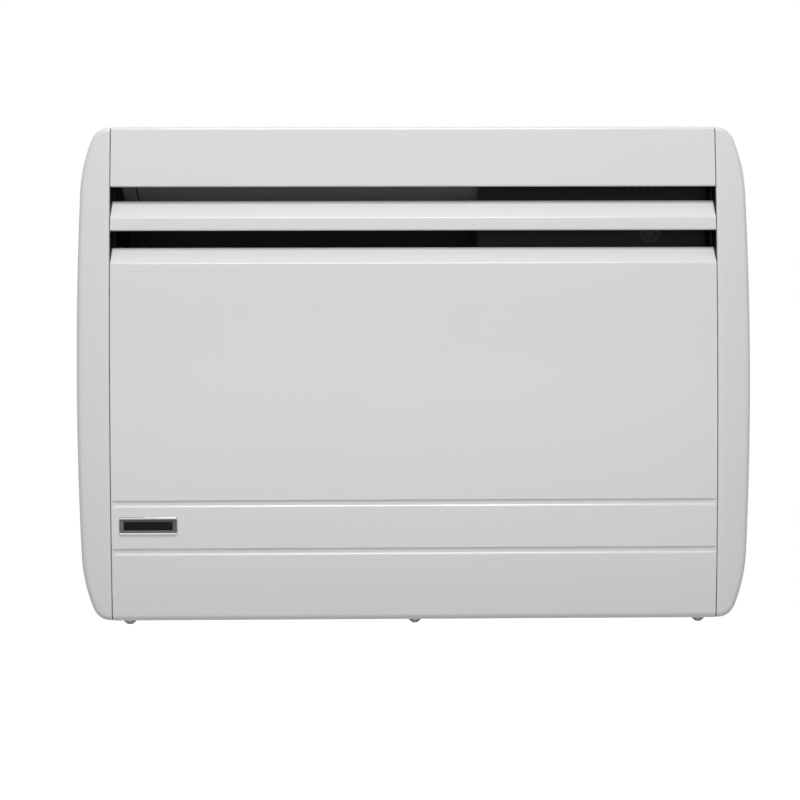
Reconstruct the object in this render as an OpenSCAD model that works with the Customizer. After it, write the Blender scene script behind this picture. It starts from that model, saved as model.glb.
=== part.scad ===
// Panel convector heater that hangs on the wall and blows warm air out of two slots in its front.
// X runs to the right as seen from the room, the front faces -Y and Z is up. The origin is on the wall,
// at the centre of the four wall screws. Inside the modules h is a height above the heater's lower edge.

/* [Body] */
// Height of the heater
body_h = 448; // [440:4:520]
// Width of the front sheets, between the two end caps
panel_w = 547.6; // [520:2:800]
// Depth of the body, from its back sheet to the crest of its bowed front
body_d = 94; // [90:1:110]
// Gap between the wall and the back sheet
standoff = 18; // [18:1:26]
// Radius of the front's bow, seen from the side
front_r = 2700; // [2000:100:6000]
// Height of the bow's crest above the lower edge
crest_h = 244; // [220:2:260]
// Thickness of the front sheets
sheet_t = 1.2; // [1:0.1:1.5]
// Thickness of the sheets inside and at the back
inner_t = 1; // [0.8:0.1:1.2]
// Radius of the bend along the upper edge
top_bend_r = 4; // [3:0.5:5]
// Radius of the bend along the lower edge
bottom_bend_r = 6; // [4:0.5:7]

/* [Outlet] */
// Height of the visor above the upper slot
visor_h = 54.9; // [50:0.1:64]
// Upper slot, from the visor's edge to the louvre's upper edge
upper_slot = 12.1; // [8:0.1:14]
// Rise of the louvre's slope, from its fold to the top of its rolled edge
louvre_rise = 15.8; // [13:0.1:20]
// Height of the louvre's upright face
louvre_face = 11.9; // [9:0.1:16]
// Lower slot, from the louvre's lower edge to the lip's upper edge
lower_slot = 14.7; // [10:0.1:18]
// Rise of the sloping lip on the lower panel, from its fold to the top of its rolled edge
lip_rise = 14.2; // [12:0.1:20]
// Depth of both slopes
slope_d = 15; // [12:0.5:16]
// Step towards the middle that the side frames take behind the slots
joggle = 2.2; // [2:0.1:3]
// Slope of the deflector above the level
deflector_angle = 30; // [24:1:34]

/* [Grooves] */
// Heights of the two pressed grooves above the lower edge
groove_h = [106.8, 63.3];
// Width of a groove
groove_w = 7.4; // [6:0.2:10]
// Depth of a groove
groove_d = 1.8; // [1.2:0.1:2.4]
// Plain length left between a groove and the end of the panel
groove_margin = 1; // [1:0.5:12]

/* [End caps] */
// Radii of the cap's outline, from its upper corner to the start of the long bulge
cap_radii = [16, 31, 155];
// Radius of the rounding along the cap's front edge
cap_edge_r = 5; // [3.5:0.1:6]
// Wall of the moulded cap
cap_wall = 2.2; // [1.6:0.1:2.6]
// Seam between a cap and the front sheets, which the side frame's web fills
seam = 0.8; // [0.7:0.1:1.2]

/* [Badge] */
// Width of the badge
badge_w = 52.6; // [36:0.2:70]
// Height of the badge
badge_h = 16.2; // [12:0.2:18]
// Width of the badge's bright rim
badge_rim = 4.2; // [1.5:0.1:4.6]
// Distance from the panel's left end to the badge
badge_inset = 7; // [6:0.5:30]
// Height of the badge's centre above the lower edge
badge_mid_h = 86.8; // [84:0.2:88]

/* [Controls] */
// Distance of the knob's axis from the right end of the front sheets
knob_inset = 52; // [48:1:60]
// Radius of the knob's skirt
knob_r = 17; // [14:0.5:20]
// Radius of the thermostat's shaft
shaft_r = 3; // [2.5:0.1:3.5]
// Depth of the recess that the controls stand in
recess_d = 10; // [8:0.5:12]
// Swing of the power rocker from one side to the other
rocker_swing = 14; // [10:1:16]
// Travel of the mode slider to each side
slider_travel = 6; // [4:0.5:7]

/* [Heating] */
// Length of the finned casting
element_len = 250; // [180:5:280]
// Height of the element's axis above the lower edge
element_h = 92; // [80:1:120]
// Distance between the legs of the heating rod
rod_pitch = 22; // [20:0.5:26]
// Radius of the heating rod
rod_r = 4; // [3.2:0.1:4.5]

/* [Wall bracket] */
// Distance between the wall screws across
screw_pitch_x = 280; // [240:5:320]
// Distance between the wall screws up and down
screw_pitch_z = 300; // [260:5:310]
// Radius of the wall screws' holes
screw_hole_r = 2.75; // [2:0.25:3.5]
// Width of a bracket rail
rail_w = 24; // [20:1:30]
// Thickness of the bracket's steel
bracket_t = 1.6; // [1.2:0.1:2]
// Radius of the pivot pins that the heater tilts on
pivot_r = 3; // [2.5:0.25:3.5]
// Height of the pivot above the heater's lower edge
pivot_h = 25; // [22:1:32]
// Heights of the stiffening beads in the back sheet
bead_h = [136, 330];
// Width of a stiffening bead
bead_w = 16; // [12:1:20]
// Depth of a stiffening bead
bead_d = 3; // [2:0.5:4]
// Radius of the bore for the supply cable
cable_r = 5.5; // [4:0.5:6.5]

/* [Hidden] */
$fn = 48;

// Clearances: between pieces that are fitted together, between turning pieces, and a cut's overrun
fit = 0.3;
run = 0.05;
eps = 0.5;

// Colours
paint = [0.86, 0.855, 0.86];
cap_white = [0.84, 0.83, 0.835];
black_paint = [0.07, 0.07, 0.07];
zinc = [0.68, 0.69, 0.68];
bright = [0.85, 0.85, 0.86];
ceramic = [0.93, 0.91, 0.86];

// The bowed front
function bow(h) = front_r - sqrt(front_r * front_r - (h - crest_h) * (h - crest_h));
function front_y(h) = bow(h) - standoff - body_d;
function bowed(h0, h1, n) = [for (i = [1 : n - 1]) let (h = h0 + (h1 - h0) * i / n) [front_y(h), h, 0]];

// Heights of the outlet's edges
visor_bottom = body_h - visor_h;
louvre_top = visor_bottom - upper_slot;
louvre_fold = louvre_top - louvre_rise;
louvre_bottom = louvre_fold - louvre_face;
lip_top = louvre_bottom - lower_slot;
lip_fold = lip_top - lip_rise;
hem = 7;
fold_r = 2;

// Places across the heater
panel_half = panel_w / 2;
cap_x = panel_half + seam;
frame_t = seam - 2 * run;
web_x = cap_x - run;
inner_web = web_x - joggle - frame_t;
casing_half = inner_web - fit;
back_y = -standoff;
casing_y = back_y - inner_t;
casing_bend = 2.5;
inner_top = body_h - sheet_t - inner_t - fit;

// Control compartment, at the right
partition_x = panel_half - 212;
fascia_x0 = partition_x + 34;
fascia_x1 = panel_half - fit;
fascia_t = 2.5;
fascia_front = back_y - 76;
fascia_back = back_y - fit;
recess_top = body_h - recess_d;
floor_under = recess_top - fascia_t;
recess_x = [fascia_x0 + 12, panel_half - 12];
recess_y = [fascia_front + 8, fascia_back - 12];
control_y = (recess_y[0] + recess_y[1]) / 2;
knob_x = panel_half - knob_inset;
rocker_x = knob_x - 48;
lamp_x = rocker_x - 20;
mode_x = lamp_x - 20;
cover_y = back_y - 58;
cover_bottom = lip_fold - 24;

// Tilting on the wall bracket
pivot_y = -standoff / 2 - 0.5;
ear_r = pivot_r + 2.8;
ear_t = 2;
rail_x = screw_pitch_x / 2;
rail_inner = rail_x - rail_w / 2;
casing_ear_x = rail_inner - bracket_t - 1;
rail_bottom = pivot_h - ear_r - 6;
rail_top = body_h / 2 + screw_pitch_z / 2 + 38;
catch_h = body_h / 2 + screw_pitch_z / 2 + 24;
stud_r = 3;

// Plane geometry of bent sheets. A corner is [y, h, bend radius], and the sheet lies to the left of its path.
function unit(v) = v / norm(v);
function left_of(v) = [-v.y, v.x];
function xy(c) = [c[0], c[1]];
function dir_in(c, i) = i == 0 ? unit(xy(c[1]) - xy(c[0])) : unit(xy(c[i]) - xy(c[i - 1]));
function dir_out(c, i) = i == len(c) - 1 ? dir_in(c, i) : unit(xy(c[i + 1]) - xy(c[i]));
function turn(c, i) = let (a = dir_in(c, i), b = dir_out(c, i)) atan2(a.x * b.y - a.y * b.x, a * b);
// The path moved d to the left: bends to the left get tighter and bends to the right get wider
function moved(c, d) = [for (i = [0 : len(c) - 1])
    let (a = left_of(dir_in(c, i)), b = left_of(dir_out(c, i)), p = xy(c[i]) + d * (a + b) / (1 + a * b))
    [p.x, p.y, c[i][2] == 0 ? 0 : max(0.05, c[i][2] - d * sign(turn(c, i)))]];
function bend(c, i, steps) = let (a = dir_in(c, i), w = turn(c, i), r = c[i][2], s = sign(w),
        start = xy(c[i]) - a * r * tan(abs(w) / 2), mid = start + s * r * left_of(a))
    [for (k = [0 : steps]) let (q = w * k / steps, d = [a.x * cos(q) - a.y * sin(q), a.x * sin(q) + a.y * cos(q)])
        mid - s * r * left_of(d)];
function rounded(c) = [for (i = [0 : len(c) - 1])
    each c[i][2] == 0 ? [xy(c[i])] : bend(c, i, ceil(abs(turn(c, i)) / 15))];
function reversed(p) = [for (i = [len(p) - 1 : -1 : 0]) p[i]];
function sheet(c, t) = concat(rounded(c), reversed(rounded(moved(c, t))));
// Corner of a slope that runs back from a fold at height h and is rolled down over its rear edge: the roll, of
// radius fold_r, has its top at the given rise above the fold
function rolled_edge(h, rise) = let (a = slope_d - fold_r, b = rise - fold_r,
        lean = acos(fold_r / norm([a, b])) - atan2(b, a))
    [front_y(h) + slope_d, h + slope_d / tan(lean), fold_r];

// Puts a plane [y, h] shape across the heater, from x0 to x1
module across(x0, x1) {
    translate([x0, 0, -body_h / 2]) rotate([90, 0, 90]) linear_extrude(x1 - x0) children();
}
// Moves a piece drawn with heights above the lower edge into the heater's frame
module raised() {
    translate([0, 0, -body_h / 2]) children();
}
module both_sides() {
    children();
    mirror([1, 0, 0]) children();
}
module block(x, y, h) {
    translate([x[0], y[0], h[0]]) cube([x[1] - x[0], y[1] - y[0], h[1] - h[0]]);
}
// Round bar or hole along X, from x0 to x1
module bar_x(x0, x1, y, h, r) {
    translate([x0, y, h]) rotate([0, 90, 0]) cylinder(r = r, h = x1 - x0);
}
// Round bar or hole along Y, from y0 to y1
module bar_y(x, y0, y1, h, r) {
    translate([x, y1, h]) rotate([90, 0, 0]) cylinder(r = r, h = y1 - y0);
}
// Round rod along a route of points whose legs run along the axes, with bends of radius r_bend
module routed(points, r, r_bend) {
    last = len(points) - 1;
    for (i = [0 : last - 1]) {
        a = unit(points[i + 1] - points[i]);
        from = points[i] + (i == 0 ? 0 : r_bend) * a;
        to = points[i + 1] - (i == last - 1 ? 0 : r_bend) * a;
        translate(from) rotate([0, acos(a.z), atan2(a.y, a.x)]) cylinder(r = r, h = norm(to - from));
    }
    for (i = [1 : last - 1]) {
        a = unit(points[i] - points[i - 1]);
        b = unit(points[i + 1] - points[i]);
        c = cross(a, b);
        m = points[i] + r_bend * (b - a);
        multmatrix([[-b.x, a.x, c.x, m.x], [-b.y, a.y, c.y, m.y], [-b.z, a.z, c.z, m.z]])
            rotate_extrude(angle = 90) translate([r_bend, 0]) circle(r = r);
    }
}

// Front sheets
groove_flat = 1.1;
function groove(h) = [
    [front_y(h + groove_w / 2), h + groove_w / 2, 1.6], [front_y(h) + groove_d, h + groove_flat, 1],
    [front_y(h) + groove_d, h - groove_flat, 1], [front_y(h - groove_w / 2), h - groove_w / 2, 1.6]];
panel_flange = 28;
panel_upper = concat(
    [[front_y(lip_fold) + slope_d, lip_top - hem, 0], rolled_edge(lip_fold, lip_rise),
     [front_y(lip_fold), lip_fold, fold_r]],
    bowed(lip_fold, groove_h[0] + groove_w, 9));
panel_lower = concat(
    bowed(groove_h[1], 0, 3),
    [[front_y(0), 0, bottom_bend_r], [front_y(0) + panel_flange, 0, 0]]);
screw_y = front_y(0) + 13.5;
screw_inset = 13.5;
screw_xs = [-panel_half + screw_inset, 0, panel_half - screw_inset];
panel_screw_r = 2.4;
function grooved_panel() = concat(panel_upper, groove(groove_h[0]),
    [[front_y((groove_h[0] + groove_h[1]) / 2), (groove_h[0] + groove_h[1]) / 2, 0]],
    groove(groove_h[1]), panel_lower);
function plain_panel() = concat(panel_upper,
    bowed(groove_h[0] + groove_w, groove_h[1], 3), panel_lower);
module front_panel() color(paint) difference() {
    union() {
        across(-panel_half + groove_margin, panel_half - groove_margin) polygon(sheet(grooved_panel(), sheet_t));
        for (side = [-1, 1]) {
            end = side * panel_half;
            inner = side * (panel_half - groove_margin);
            across(min(end, inner), max(end, inner)) polygon(sheet(plain_panel(), sheet_t));
            // The rounded end of each groove
            for (h = groove_h)
                across(min(inner, inner - side * sheet_t), max(inner, inner - side * sheet_t)) polygon(concat(
                    [for (k = [-1 : 0.5 : 1]) [front_y(h + k * groove_w / 2), h + k * groove_w / 2]],
                    [[front_y(h) + groove_d + sheet_t, h + groove_flat + sheet_t / 2],
                     [front_y(h) + groove_d + sheet_t, h - groove_flat - sheet_t / 2]]));
        }
    }
    raised() for (x = screw_xs) translate([x, screw_y, -eps])
        cylinder(r = panel_screw_r + 0.2, h = sheet_t + 2 * eps);
}

visor_path = concat(
    [[back_y, body_h, 0], [front_y(body_h), body_h, top_bend_r]],
    bowed(body_h, visor_bottom, 4),
    [[front_y(visor_bottom), visor_bottom, fold_r], [front_y(visor_bottom) + hem, visor_bottom, 0]]);
module top_panel() color(paint) difference() {
    across(-panel_half, panel_half) polygon(sheet(visor_path, sheet_t));
    // The controls take up the right end of the top
    raised() block([fascia_x0 - fit, panel_half + eps], [fascia_front - fit, eps], [body_h - 2 * hem, body_h + eps]);
}

louvre_path = [
    [front_y(louvre_fold) + slope_d, louvre_top - hem, 0], rolled_edge(louvre_fold, louvre_rise),
    [front_y(louvre_fold), louvre_fold, fold_r], [front_y(louvre_bottom), louvre_bottom, fold_r],
    [front_y(louvre_bottom) + hem, louvre_bottom, 0]];
module outlet_louvre() color(paint) across(-panel_half, panel_half) polygon(sheet(louvre_path, sheet_t));

// End caps. The outline is a chain of arcs: [u, h, across, up], where u is the distance out from the seam
// and [across, up] is the outward normal. The angles are measured from the vertical.
cap_angles = [90, 30, 20, 1.93];
cap_drop = 0.5;
cap_flat = 1.7;
function arc_span(k) = cap_radii[k] * [cos(cap_angles[k + 1]) - cos(cap_angles[k]),
    sin(cap_angles[k + 1]) - sin(cap_angles[k])];
function corner_at(k) = k == 0 ? [cap_flat, body_h - cap_drop] : corner_at(k - 1) + arc_span(k - 1);
bulge_r = (corner_at(3).y - body_h / 2) / sin(cap_angles[3]);
function arc_points(start, r, a0, a1, n) = [for (i = [1 : n]) let (a = a0 + (a1 - a0) * i / n)
    [start.x + r * (cos(a) - cos(a0)), start.y + r * (sin(a) - sin(a0)), cos(a), sin(a)]];
upper_outline = concat(
    [[0, body_h - cap_drop, 0, 1], [cap_flat, body_h - cap_drop, 0, 1]],
    arc_points(corner_at(0), cap_radii[0], cap_angles[0], cap_angles[1], 6),
    arc_points(corner_at(1), cap_radii[1], cap_angles[1], cap_angles[2], 2),
    arc_points(corner_at(2), cap_radii[2], cap_angles[2], cap_angles[3], 4),
    arc_points(corner_at(3), bulge_r, cap_angles[3], 0, 4));
cap_outline = concat(upper_outline,
    [for (i = [len(upper_outline) - 2 : -1 : 0]) let (p = upper_outline[i]) [p[0], body_h - p[1], p[2], -p[3]]]);
cap_w = corner_at(3).x + bulge_r * (1 - cos(cap_angles[3]));
cap_back = back_y - 2;
cap_steps = 5;
// The outline moved inwards by inset, at depth dy behind the bowed front or on the flat back
function cap_ring(inset, dy) = [for (p = cap_outline) let (h = p[1] - inset * p[3])
    [p[0] - inset * p[2], front_y(h) + dy, h]];
function cap_back_ring(inset) = [for (p = cap_outline) [p[0] - inset * p[2], cap_back, p[1] - inset * p[3]]];
// One face of the cap's wall: round the front edge in rings, then back in one straight ring
function cap_face(inset) = let (r = cap_edge_r - inset) concat(
    [for (k = [0 : cap_steps]) let (a = 90 * k / cap_steps) cap_ring(inset + r * (1 - sin(a)), inset + r * (1 - cos(a)))],
    [cap_back_ring(inset)]);
// The moulded wall as one closed surface: its outer face, its inner face and the rims that join them.
// The front is closed by a strip between the first ring and the points level with it on the seam.
module cap_wall_shape() {
    n = len(cap_outline);
    rings = cap_steps + 2;
    side = n * rings;
    seam_row = [for (i = [1 : n - 2]) i];
    outer = cap_face(0);
    inner = cap_face(cap_wall);
    whole = side + n - 2;
    seam_at = function(i, base) i == 0 ? base : i == n - 1 ? base + n - 1 : base + side + i - 1;
    face = function(base) concat(
        [for (k = [0 : rings - 2]) for (i = [0 : n - 2]) let (a = base + k * n + i)
            each [[a, a + n, a + n + 1], [a, a + n + 1, a + 1]]],
        [for (i = [0 : n - 2]) let (a = base + i, b = base + i + 1, c = seam_at(i + 1, base), d = seam_at(i, base))
            each concat(b == c ? [] : [[a, b, c]], a == d ? [] : [[a, c, d]])]);
    rim = concat(
        [for (k = [0 : rings - 2]) [k * n, k * n + n]],
        [for (i = [0 : n - 2]) [(rings - 1) * n + i, (rings - 1) * n + i + 1]],
        [for (k = [rings - 1 : -1 : 1]) [k * n + n - 1, k * n - 1]],
        [for (i = [n - 1 : -1 : 1]) [seam_at(i, 0), seam_at(i - 1, 0)]]);
    polyhedron(
        points = concat(
            [for (ring = outer) each ring], [for (i = seam_row) [0, outer[0][i].y, outer[0][i].z]],
            [for (ring = inner) each ring], [for (i = seam_row) [0, inner[0][i].y, inner[0][i].z]]),
        faces = concat(
            face(0), [for (f = face(whole)) [f[0], f[2], f[1]]],
            [for (e = rim) each [[e[0], e[0] + whole, e[1] + whole], [e[0], e[1] + whole, e[1]]]]),
        convexity = 6);
}
cap_screw_hs = [body_h * 0.14, body_h / 2, louvre_fold + 3.5];
cap_screw_y = back_y - body_d / 2;
cap_screw_r = 1.8;
post_r = 4.5;
// Distance from the seam to the outside of the cap at height h
function cap_reach(h) = lookup(h, [for (p = reversed(cap_outline)) [p[1], p[0]]]);
// Rib across the cap at height h, from the wall's inside to a little short of the side frame
cap_rib_hs = [body_h * 0.32, body_h * 0.68];
cap_rib_t = 1.6;
module cap_rib(h) {
    x1 = cap_x + cap_reach(h) - cap_wall / 2;
    y0 = front_y(h) + cap_wall / 2;
    translate([0, 0, h - cap_rib_t / 2]) linear_extrude(cap_rib_t) polygon([[cap_x + seam, y0],
        [x1 - cap_edge_r, y0], [x1, y0 + cap_edge_r], [x1, cap_back - 12], [x1 - 6, cap_back - 22],
        [cap_x + seam, cap_back - 30]]);
}
module right_cap_shape() raised() difference() {
    union() {
        translate([cap_x, 0, 0]) cap_wall_shape();
        // Posts for the screws that hold the cap to its side frame
        for (h = cap_screw_hs)
            bar_x(web_x - joggle + run, cap_x + cap_reach(h) - cap_wall / 2, cap_screw_y, h, post_r);
        for (h = cap_rib_hs) cap_rib(h);
    }
    for (h = cap_screw_hs) bar_x(panel_half - 2 * joggle, panel_half + 12, cap_screw_y, h, cap_screw_r);
}
module right_end_cap() color(cap_white) right_cap_shape();
module left_end_cap() color(cap_white) mirror([1, 0, 0]) right_cap_shape();

// Side frames: a web in the seam, which the cap is screwed to. It steps inwards behind the slots, and its back
// edge is turned in against the casing. In this plan view a corner is [x, y, bend radius].
frame_bottom = sheet_t + fit;
frame_top = body_h - fascia_t - fit;
frame_edge = cap_wall;
joggle_y = front_y(louvre_fold) + slope_d + 2;
frame_plan = [[web_x, front_y(crest_h), 0], [web_x, joggle_y + frame_t, 1], [web_x - joggle, joggle_y + frame_t, 1],
    [web_x - joggle, casing_y, 1.5], [web_x - 14, casing_y, 0]];
corner_cut = eps - casing_y + casing_bend;
frame_hs = [for (i = [0 : 12]) frame_bottom - eps + (frame_top - frame_bottom + 2 * eps) * i / 12];
module right_frame_shape() difference() {
    intersection() {
        raised() translate([0, 0, frame_bottom]) linear_extrude(frame_top - frame_bottom)
            polygon(sheet(frame_plan, frame_t));
        across(panel_half - 20, cap_x) polygon(concat(
            [[casing_y - casing_bend, frame_hs[12]], [eps, frame_hs[12] - corner_cut],
             [eps, frame_hs[0] + corner_cut], [casing_y - casing_bend, frame_hs[0]]],
            [for (h = frame_hs) [front_y(h) + frame_edge, h]]));
    }
    raised() for (h = cap_screw_hs) bar_x(panel_half - 20, cap_x, cap_screw_y, h, cap_screw_r + 0.2);
}
module right_side_frame() color(black_paint) right_frame_shape();
module left_side_frame() color(black_paint) mirror([1, 0, 0]) right_frame_shape();

// Back sheet with its upper and lower flanges, two pressed beads and a row of vents behind the controls
function bead(h) = [[back_y, h - bead_w / 2, 1.5], [back_y + bead_d, h - bead_w / 2 + bead_d, 1.5],
    [back_y + bead_d, h + bead_w / 2 - bead_d, 1.5], [back_y, h + bead_w / 2, 1.5]];
casing_path = concat([[back_y - 22, 0, 0], [back_y, 0, casing_bend]], bead(bead_h[0]), bead(bead_h[1]),
    [[back_y, body_h - sheet_t, casing_bend], [back_y - 18, body_h - sheet_t, 0]]);
cable_x = panel_half - 74;
cable_h = 112;
bush_r = cable_r + 3;
back_vent = [24, 4];
back_vent_h = catch_h;
module rear_casing() color(black_paint) difference() {
    across(-casing_half, casing_half) polygon(sheet(casing_path, inner_t));
    raised() {
        bar_y(cable_x, casing_y - eps, back_y + eps, cable_h, bush_r + run);
        block([fascia_x0 - fit, panel_half], [back_y - 30, eps], [frame_top, body_h]);
        for (i = [0 : 3], k = [-1 : 1]) translate([knob_x - 24 + 34 * (i - 1), 0, back_vent_h + 9 * k])
            block([-back_vent[0] / 2, back_vent[0] / 2], [casing_y - eps, back_y + eps],
                [-back_vent[1] / 2, back_vent[1] / 2]);
    }
}

// Air inlet: a slotted plate on the two lower flanges
grille_half = casing_half - 3;
slot_w = 5;
slot_len = 20;
module inlet_grille() color(paint) raised() difference() {
    block([-grille_half, grille_half], [screw_y - 5, casing_y - casing_bend], [sheet_t, sheet_t + inner_t]);
    for (col = [0 : 16], row = [0 : 2])
        translate([(col - 8) * (2 * grille_half - 36) / 17, (front_y(0) + panel_flange + back_y - 22) / 2
            + (row - 1) * (slot_w + 1.2), 0])
            block([-slot_len / 2, slot_len / 2], [-slot_w / 2 + 0.4, slot_w / 2 - 0.4], [0, 3 * sheet_t]);
    for (x = screw_xs) translate([x, screw_y, 0]) cylinder(r = panel_screw_r + 0.2, h = 3 * sheet_t);
}

// Flanged screws that hold the lower panel, heads down
module bottom_screws() color(zinc) raised() for (x = screw_xs) translate([x, screw_y, 0]) rotate_extrude()
    polygon([[0, -4.4], [1.7, -4.3], [2.9, -3.8], [3.5, -2.9], [3.6, -1.4], [5.5, -1.2], [5.5, 0],
        [panel_screw_r, 0], [panel_screw_r, 7.5], [panel_screw_r - 0.8, 9], [0, 9]]);
// Screws through the side frames into the caps' posts
module cap_screws() color(zinc) raised() both_sides() for (h = cap_screw_hs)
    translate([inner_web, cap_screw_y, h]) rotate([0, 90, 0]) rotate_extrude()
        polygon([[0, -2.2], [1.8, -2.1], [3.2, -1.2], [3.6, 0], [cap_screw_r - run, 0], [cap_screw_r - run, 12],
            [0, 13.2]]);

// Badge: a bright frame round a plain dark plate
badge_x0 = -panel_half + badge_inset;
badge_lean = asin((crest_h - badge_mid_h) / front_r);
module badge_outline(inset) {
    w = badge_w - 2 * inset;
    h = badge_h - 2 * inset;
    r = 1.4;
    translate([badge_w / 2, 0]) {
        square([w - 2 * r, h], center = true);
        square([w, h - 2 * r], center = true);
        for (sx = [-1, 1], sy = [-1, 1]) translate([sx * (w / 2 - r), sy * (h / 2 - r)]) circle(r = r, $fn = 24);
    }
}
// A flat piece of thickness t, laid on the bowed panel
module on_badge(t) raised() translate([badge_x0, front_y(badge_mid_h), badge_mid_h])
    rotate([90 + badge_lean, 0, 0]) translate([0, 0, 2 * run]) linear_extrude(t) children();
module badge_frame() color(bright) on_badge(1.8) difference() {
    badge_outline(0);
    badge_outline(badge_rim);
}
module badge_plate() color(black_paint) on_badge(1) badge_outline(badge_rim + run);

// Sheet that turns the rising air towards the slots. A slit frees its left end from the strip beside the frame.
deflector_low = louvre_bottom + 22;
deflector_run = body_d - 16;
deflector_path = [[casing_y, deflector_low - 14, 0], [casing_y, deflector_low, 3],
    [casing_y - deflector_run, deflector_low + deflector_run * tan(deflector_angle), 3],
    [casing_y - deflector_run, body_h - sheet_t - fit, 0]];
slit_x = -panel_half + 15;
slit_t = 1.2;
module air_deflector() color(zinc) difference() {
    across(-casing_half, partition_x - fit) polygon(sheet(deflector_path, inner_t));
    raised() {
        block([slit_x, slit_x + slit_t], [casing_y - deflector_run + 8, eps], [deflector_low - 15, body_h - 14]);
        block([-panel_half, slit_x + slit_t / 2], [casing_y - 5, eps], [deflector_low - 15, deflector_low + 5]);
    }
}

// Plate between the hot chamber and the controls. Above the controls' shelf it ends behind their shield.
partition_front = back_y - body_d + slope_d + 7;
partition_step = cover_bottom - inner_t - fit;
module partition_plate() color(zinc) difference() {
    union() {
        across(partition_x, partition_x + inner_t) polygon([[casing_y, 2 * sheet_t + fit],
            [casing_y, inner_top - casing_bend], [casing_y - casing_bend, inner_top],
            [cover_y + inner_t + fit, inner_top], [cover_y + inner_t + fit, partition_step],
            [partition_front, partition_step], [partition_front, 2 * sheet_t + fit]]);
        raised() block([partition_x, partition_x + 12], [casing_y - inner_t, casing_y], [20, bead_h[0] - bead_w]);
        raised() block([partition_x, partition_x + 12], [casing_y - inner_t, casing_y],
            [bead_h[0] + bead_w, cover_bottom - 20]);
    }
    raised() for (y = rod_ys) bar_x(partition_x - eps, partition_x + 2, y, element_h, rod_r + 1);
}

// Sheet that shields the controls from the outlet, with a shelf back to the casing
cover_back = casing_y - frame_t - fit;
cover_path = [[cover_back, cover_bottom - 12, 0], [cover_back, cover_bottom, 2],
    [cover_y + inner_t, cover_bottom, 2], [cover_y + inner_t, floor_under - fit, 0]];
plug_x = panel_half - 54;
plug_h = (louvre_bottom + lip_top) / 2 + 8.3;
plug_r = 6.6;
plug_neck = plug_r - 1.6;
vent = [1.2, 8];
vent_h = visor_bottom + 0.6;
module control_cover() color(black_paint) difference() {
    across(partition_x, casing_half) polygon(sheet(cover_path, inner_t));
    raised() {
        // The shelf stops beside the partition
        block([partition_x - eps, partition_x + inner_t + fit], [cover_y + inner_t, eps], [cover_bottom - 15, body_h]);
        bar_y(plug_x, cover_y - eps, cover_y + inner_t + eps, plug_h, plug_neck);
        for (i = [0 : 4]) translate([plug_x - 19.5 + 7.4 * i, cover_y, vent_h])
            block([-vent.x / 2, vent.x / 2], [-eps, inner_t + eps], [0, vent.y]);
        // Ways through the shelf for the supply leads, the element's leads and the capillary
        translate([terminal_x, leads_y, cover_bottom - 5]) cylinder(r = 9, h = 10);
        for (y = rod_ys) translate([lead_x, y, cover_bottom - 5]) cylinder(r = 2 * lead_r, h = 10);
        translate([capillary_x, capillary_y, cover_bottom - 5]) cylinder(r = 3 * capillary_r, h = 10);
    }
}
// Rubber plug in the shield's round hole
module cover_plug() color([0.2, 0.2, 0.2]) raised() translate([plug_x, cover_y, plug_h]) rotate([90, 0, 0])
    rotate_extrude() polygon([[0, -inner_t - 2.2], [plug_neck - 1, -inner_t - 2.2], [plug_neck + 0.6, -inner_t - 0.3],
        [plug_neck - run, -inner_t - 0.2], [plug_neck - run, 0], [plug_r + 3.4, 0], [plug_r + 3, 0.8], [plug_r + 0.6, 1],
        [plug_r, 2], [plug_r - 1.2, 2], [plug_r - 2, 1], [0, 1]]);

// Finned casting on a hairpin heating rod
rod_mid_y = (back_y + partition_front) / 2 - 2;
rod_ys = [rod_mid_y - rod_pitch / 2, rod_mid_y + rod_pitch / 2];
element_x0 = (-panel_half + partition_x - element_len) / 2;
element_x1 = element_x0 + element_len;
fin_len = 26;
module fin_wing(angle) rotate(angle) {
    translate([0, -0.9]) square([fin_len, 1.8]);
    translate([fin_len, 0]) circle(r = 1.6, $fn = 24);
}
module element_fins() color([0.62, 0.63, 0.64]) difference() {
    across(element_x0, element_x1) difference() {
        union() {
            for (y = rod_ys) translate([y, element_h]) circle(r = rod_r + 2.6);
            translate([rod_ys[0], element_h - 2]) square([rod_pitch, 4]);
            translate([rod_ys[0], element_h]) {
                fin_wing(125);
                fin_wing(235);
            }
            translate([rod_ys[1], element_h]) {
                fin_wing(55);
                fin_wing(-55);
            }
        }
        for (y = rod_ys) translate([y, element_h]) circle(r = rod_r + run);
    }
    // Gaps that part each wing into fins
    for (i = [1 : floor(element_len / 10) - 1]) for (up = [-1, 1])
        raised() block([element_x0 + 10 * i - 1, element_x0 + 10 * i + 1],
            [rod_ys[0] - fin_len, rod_ys[1] + fin_len],
            [element_h + (up < 0 ? -fin_len - 5 : rod_r + 4), element_h + (up < 0 ? -rod_r - 4 : fin_len + 5)]);
}
rod_end = partition_x + 14;
rod_left = element_x0 - 24;
pin_len = 8;
module heating_rod() color([0.5, 0.5, 0.48]) raised() {
    for (y = rod_ys) {
        bar_x(rod_left, rod_end, y, element_h, rod_r);
        bar_x(rod_end, rod_end + pin_len, y, element_h, 1.5);
    }
    translate([rod_left, rod_mid_y, element_h]) rotate([0, 0, 90]) rotate_extrude(angle = 180)
        translate([rod_pitch / 2, 0]) circle(r = rod_r);
}
support_xs = [element_x0 - 8, element_x1 + 8];
support_half = 16;
support_rim = 12;
support_foot = 11;
bush_outer = rod_r + 3;
module rod_supports() color(zinc) raised() for (x = support_xs) difference() {
    union() {
        block([x - inner_t / 2, x + inner_t / 2], [rod_ys[0] - support_rim, casing_y],
            [element_h - support_half, element_h + support_half]);
        block([x - inner_t / 2, x + support_foot], [casing_y - inner_t, casing_y],
            [element_h - support_half, element_h + support_half]);
    }
    for (y = rod_ys) bar_x(x - 2, x + 2, y, element_h, bush_outer - 2 + run);
}
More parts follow.
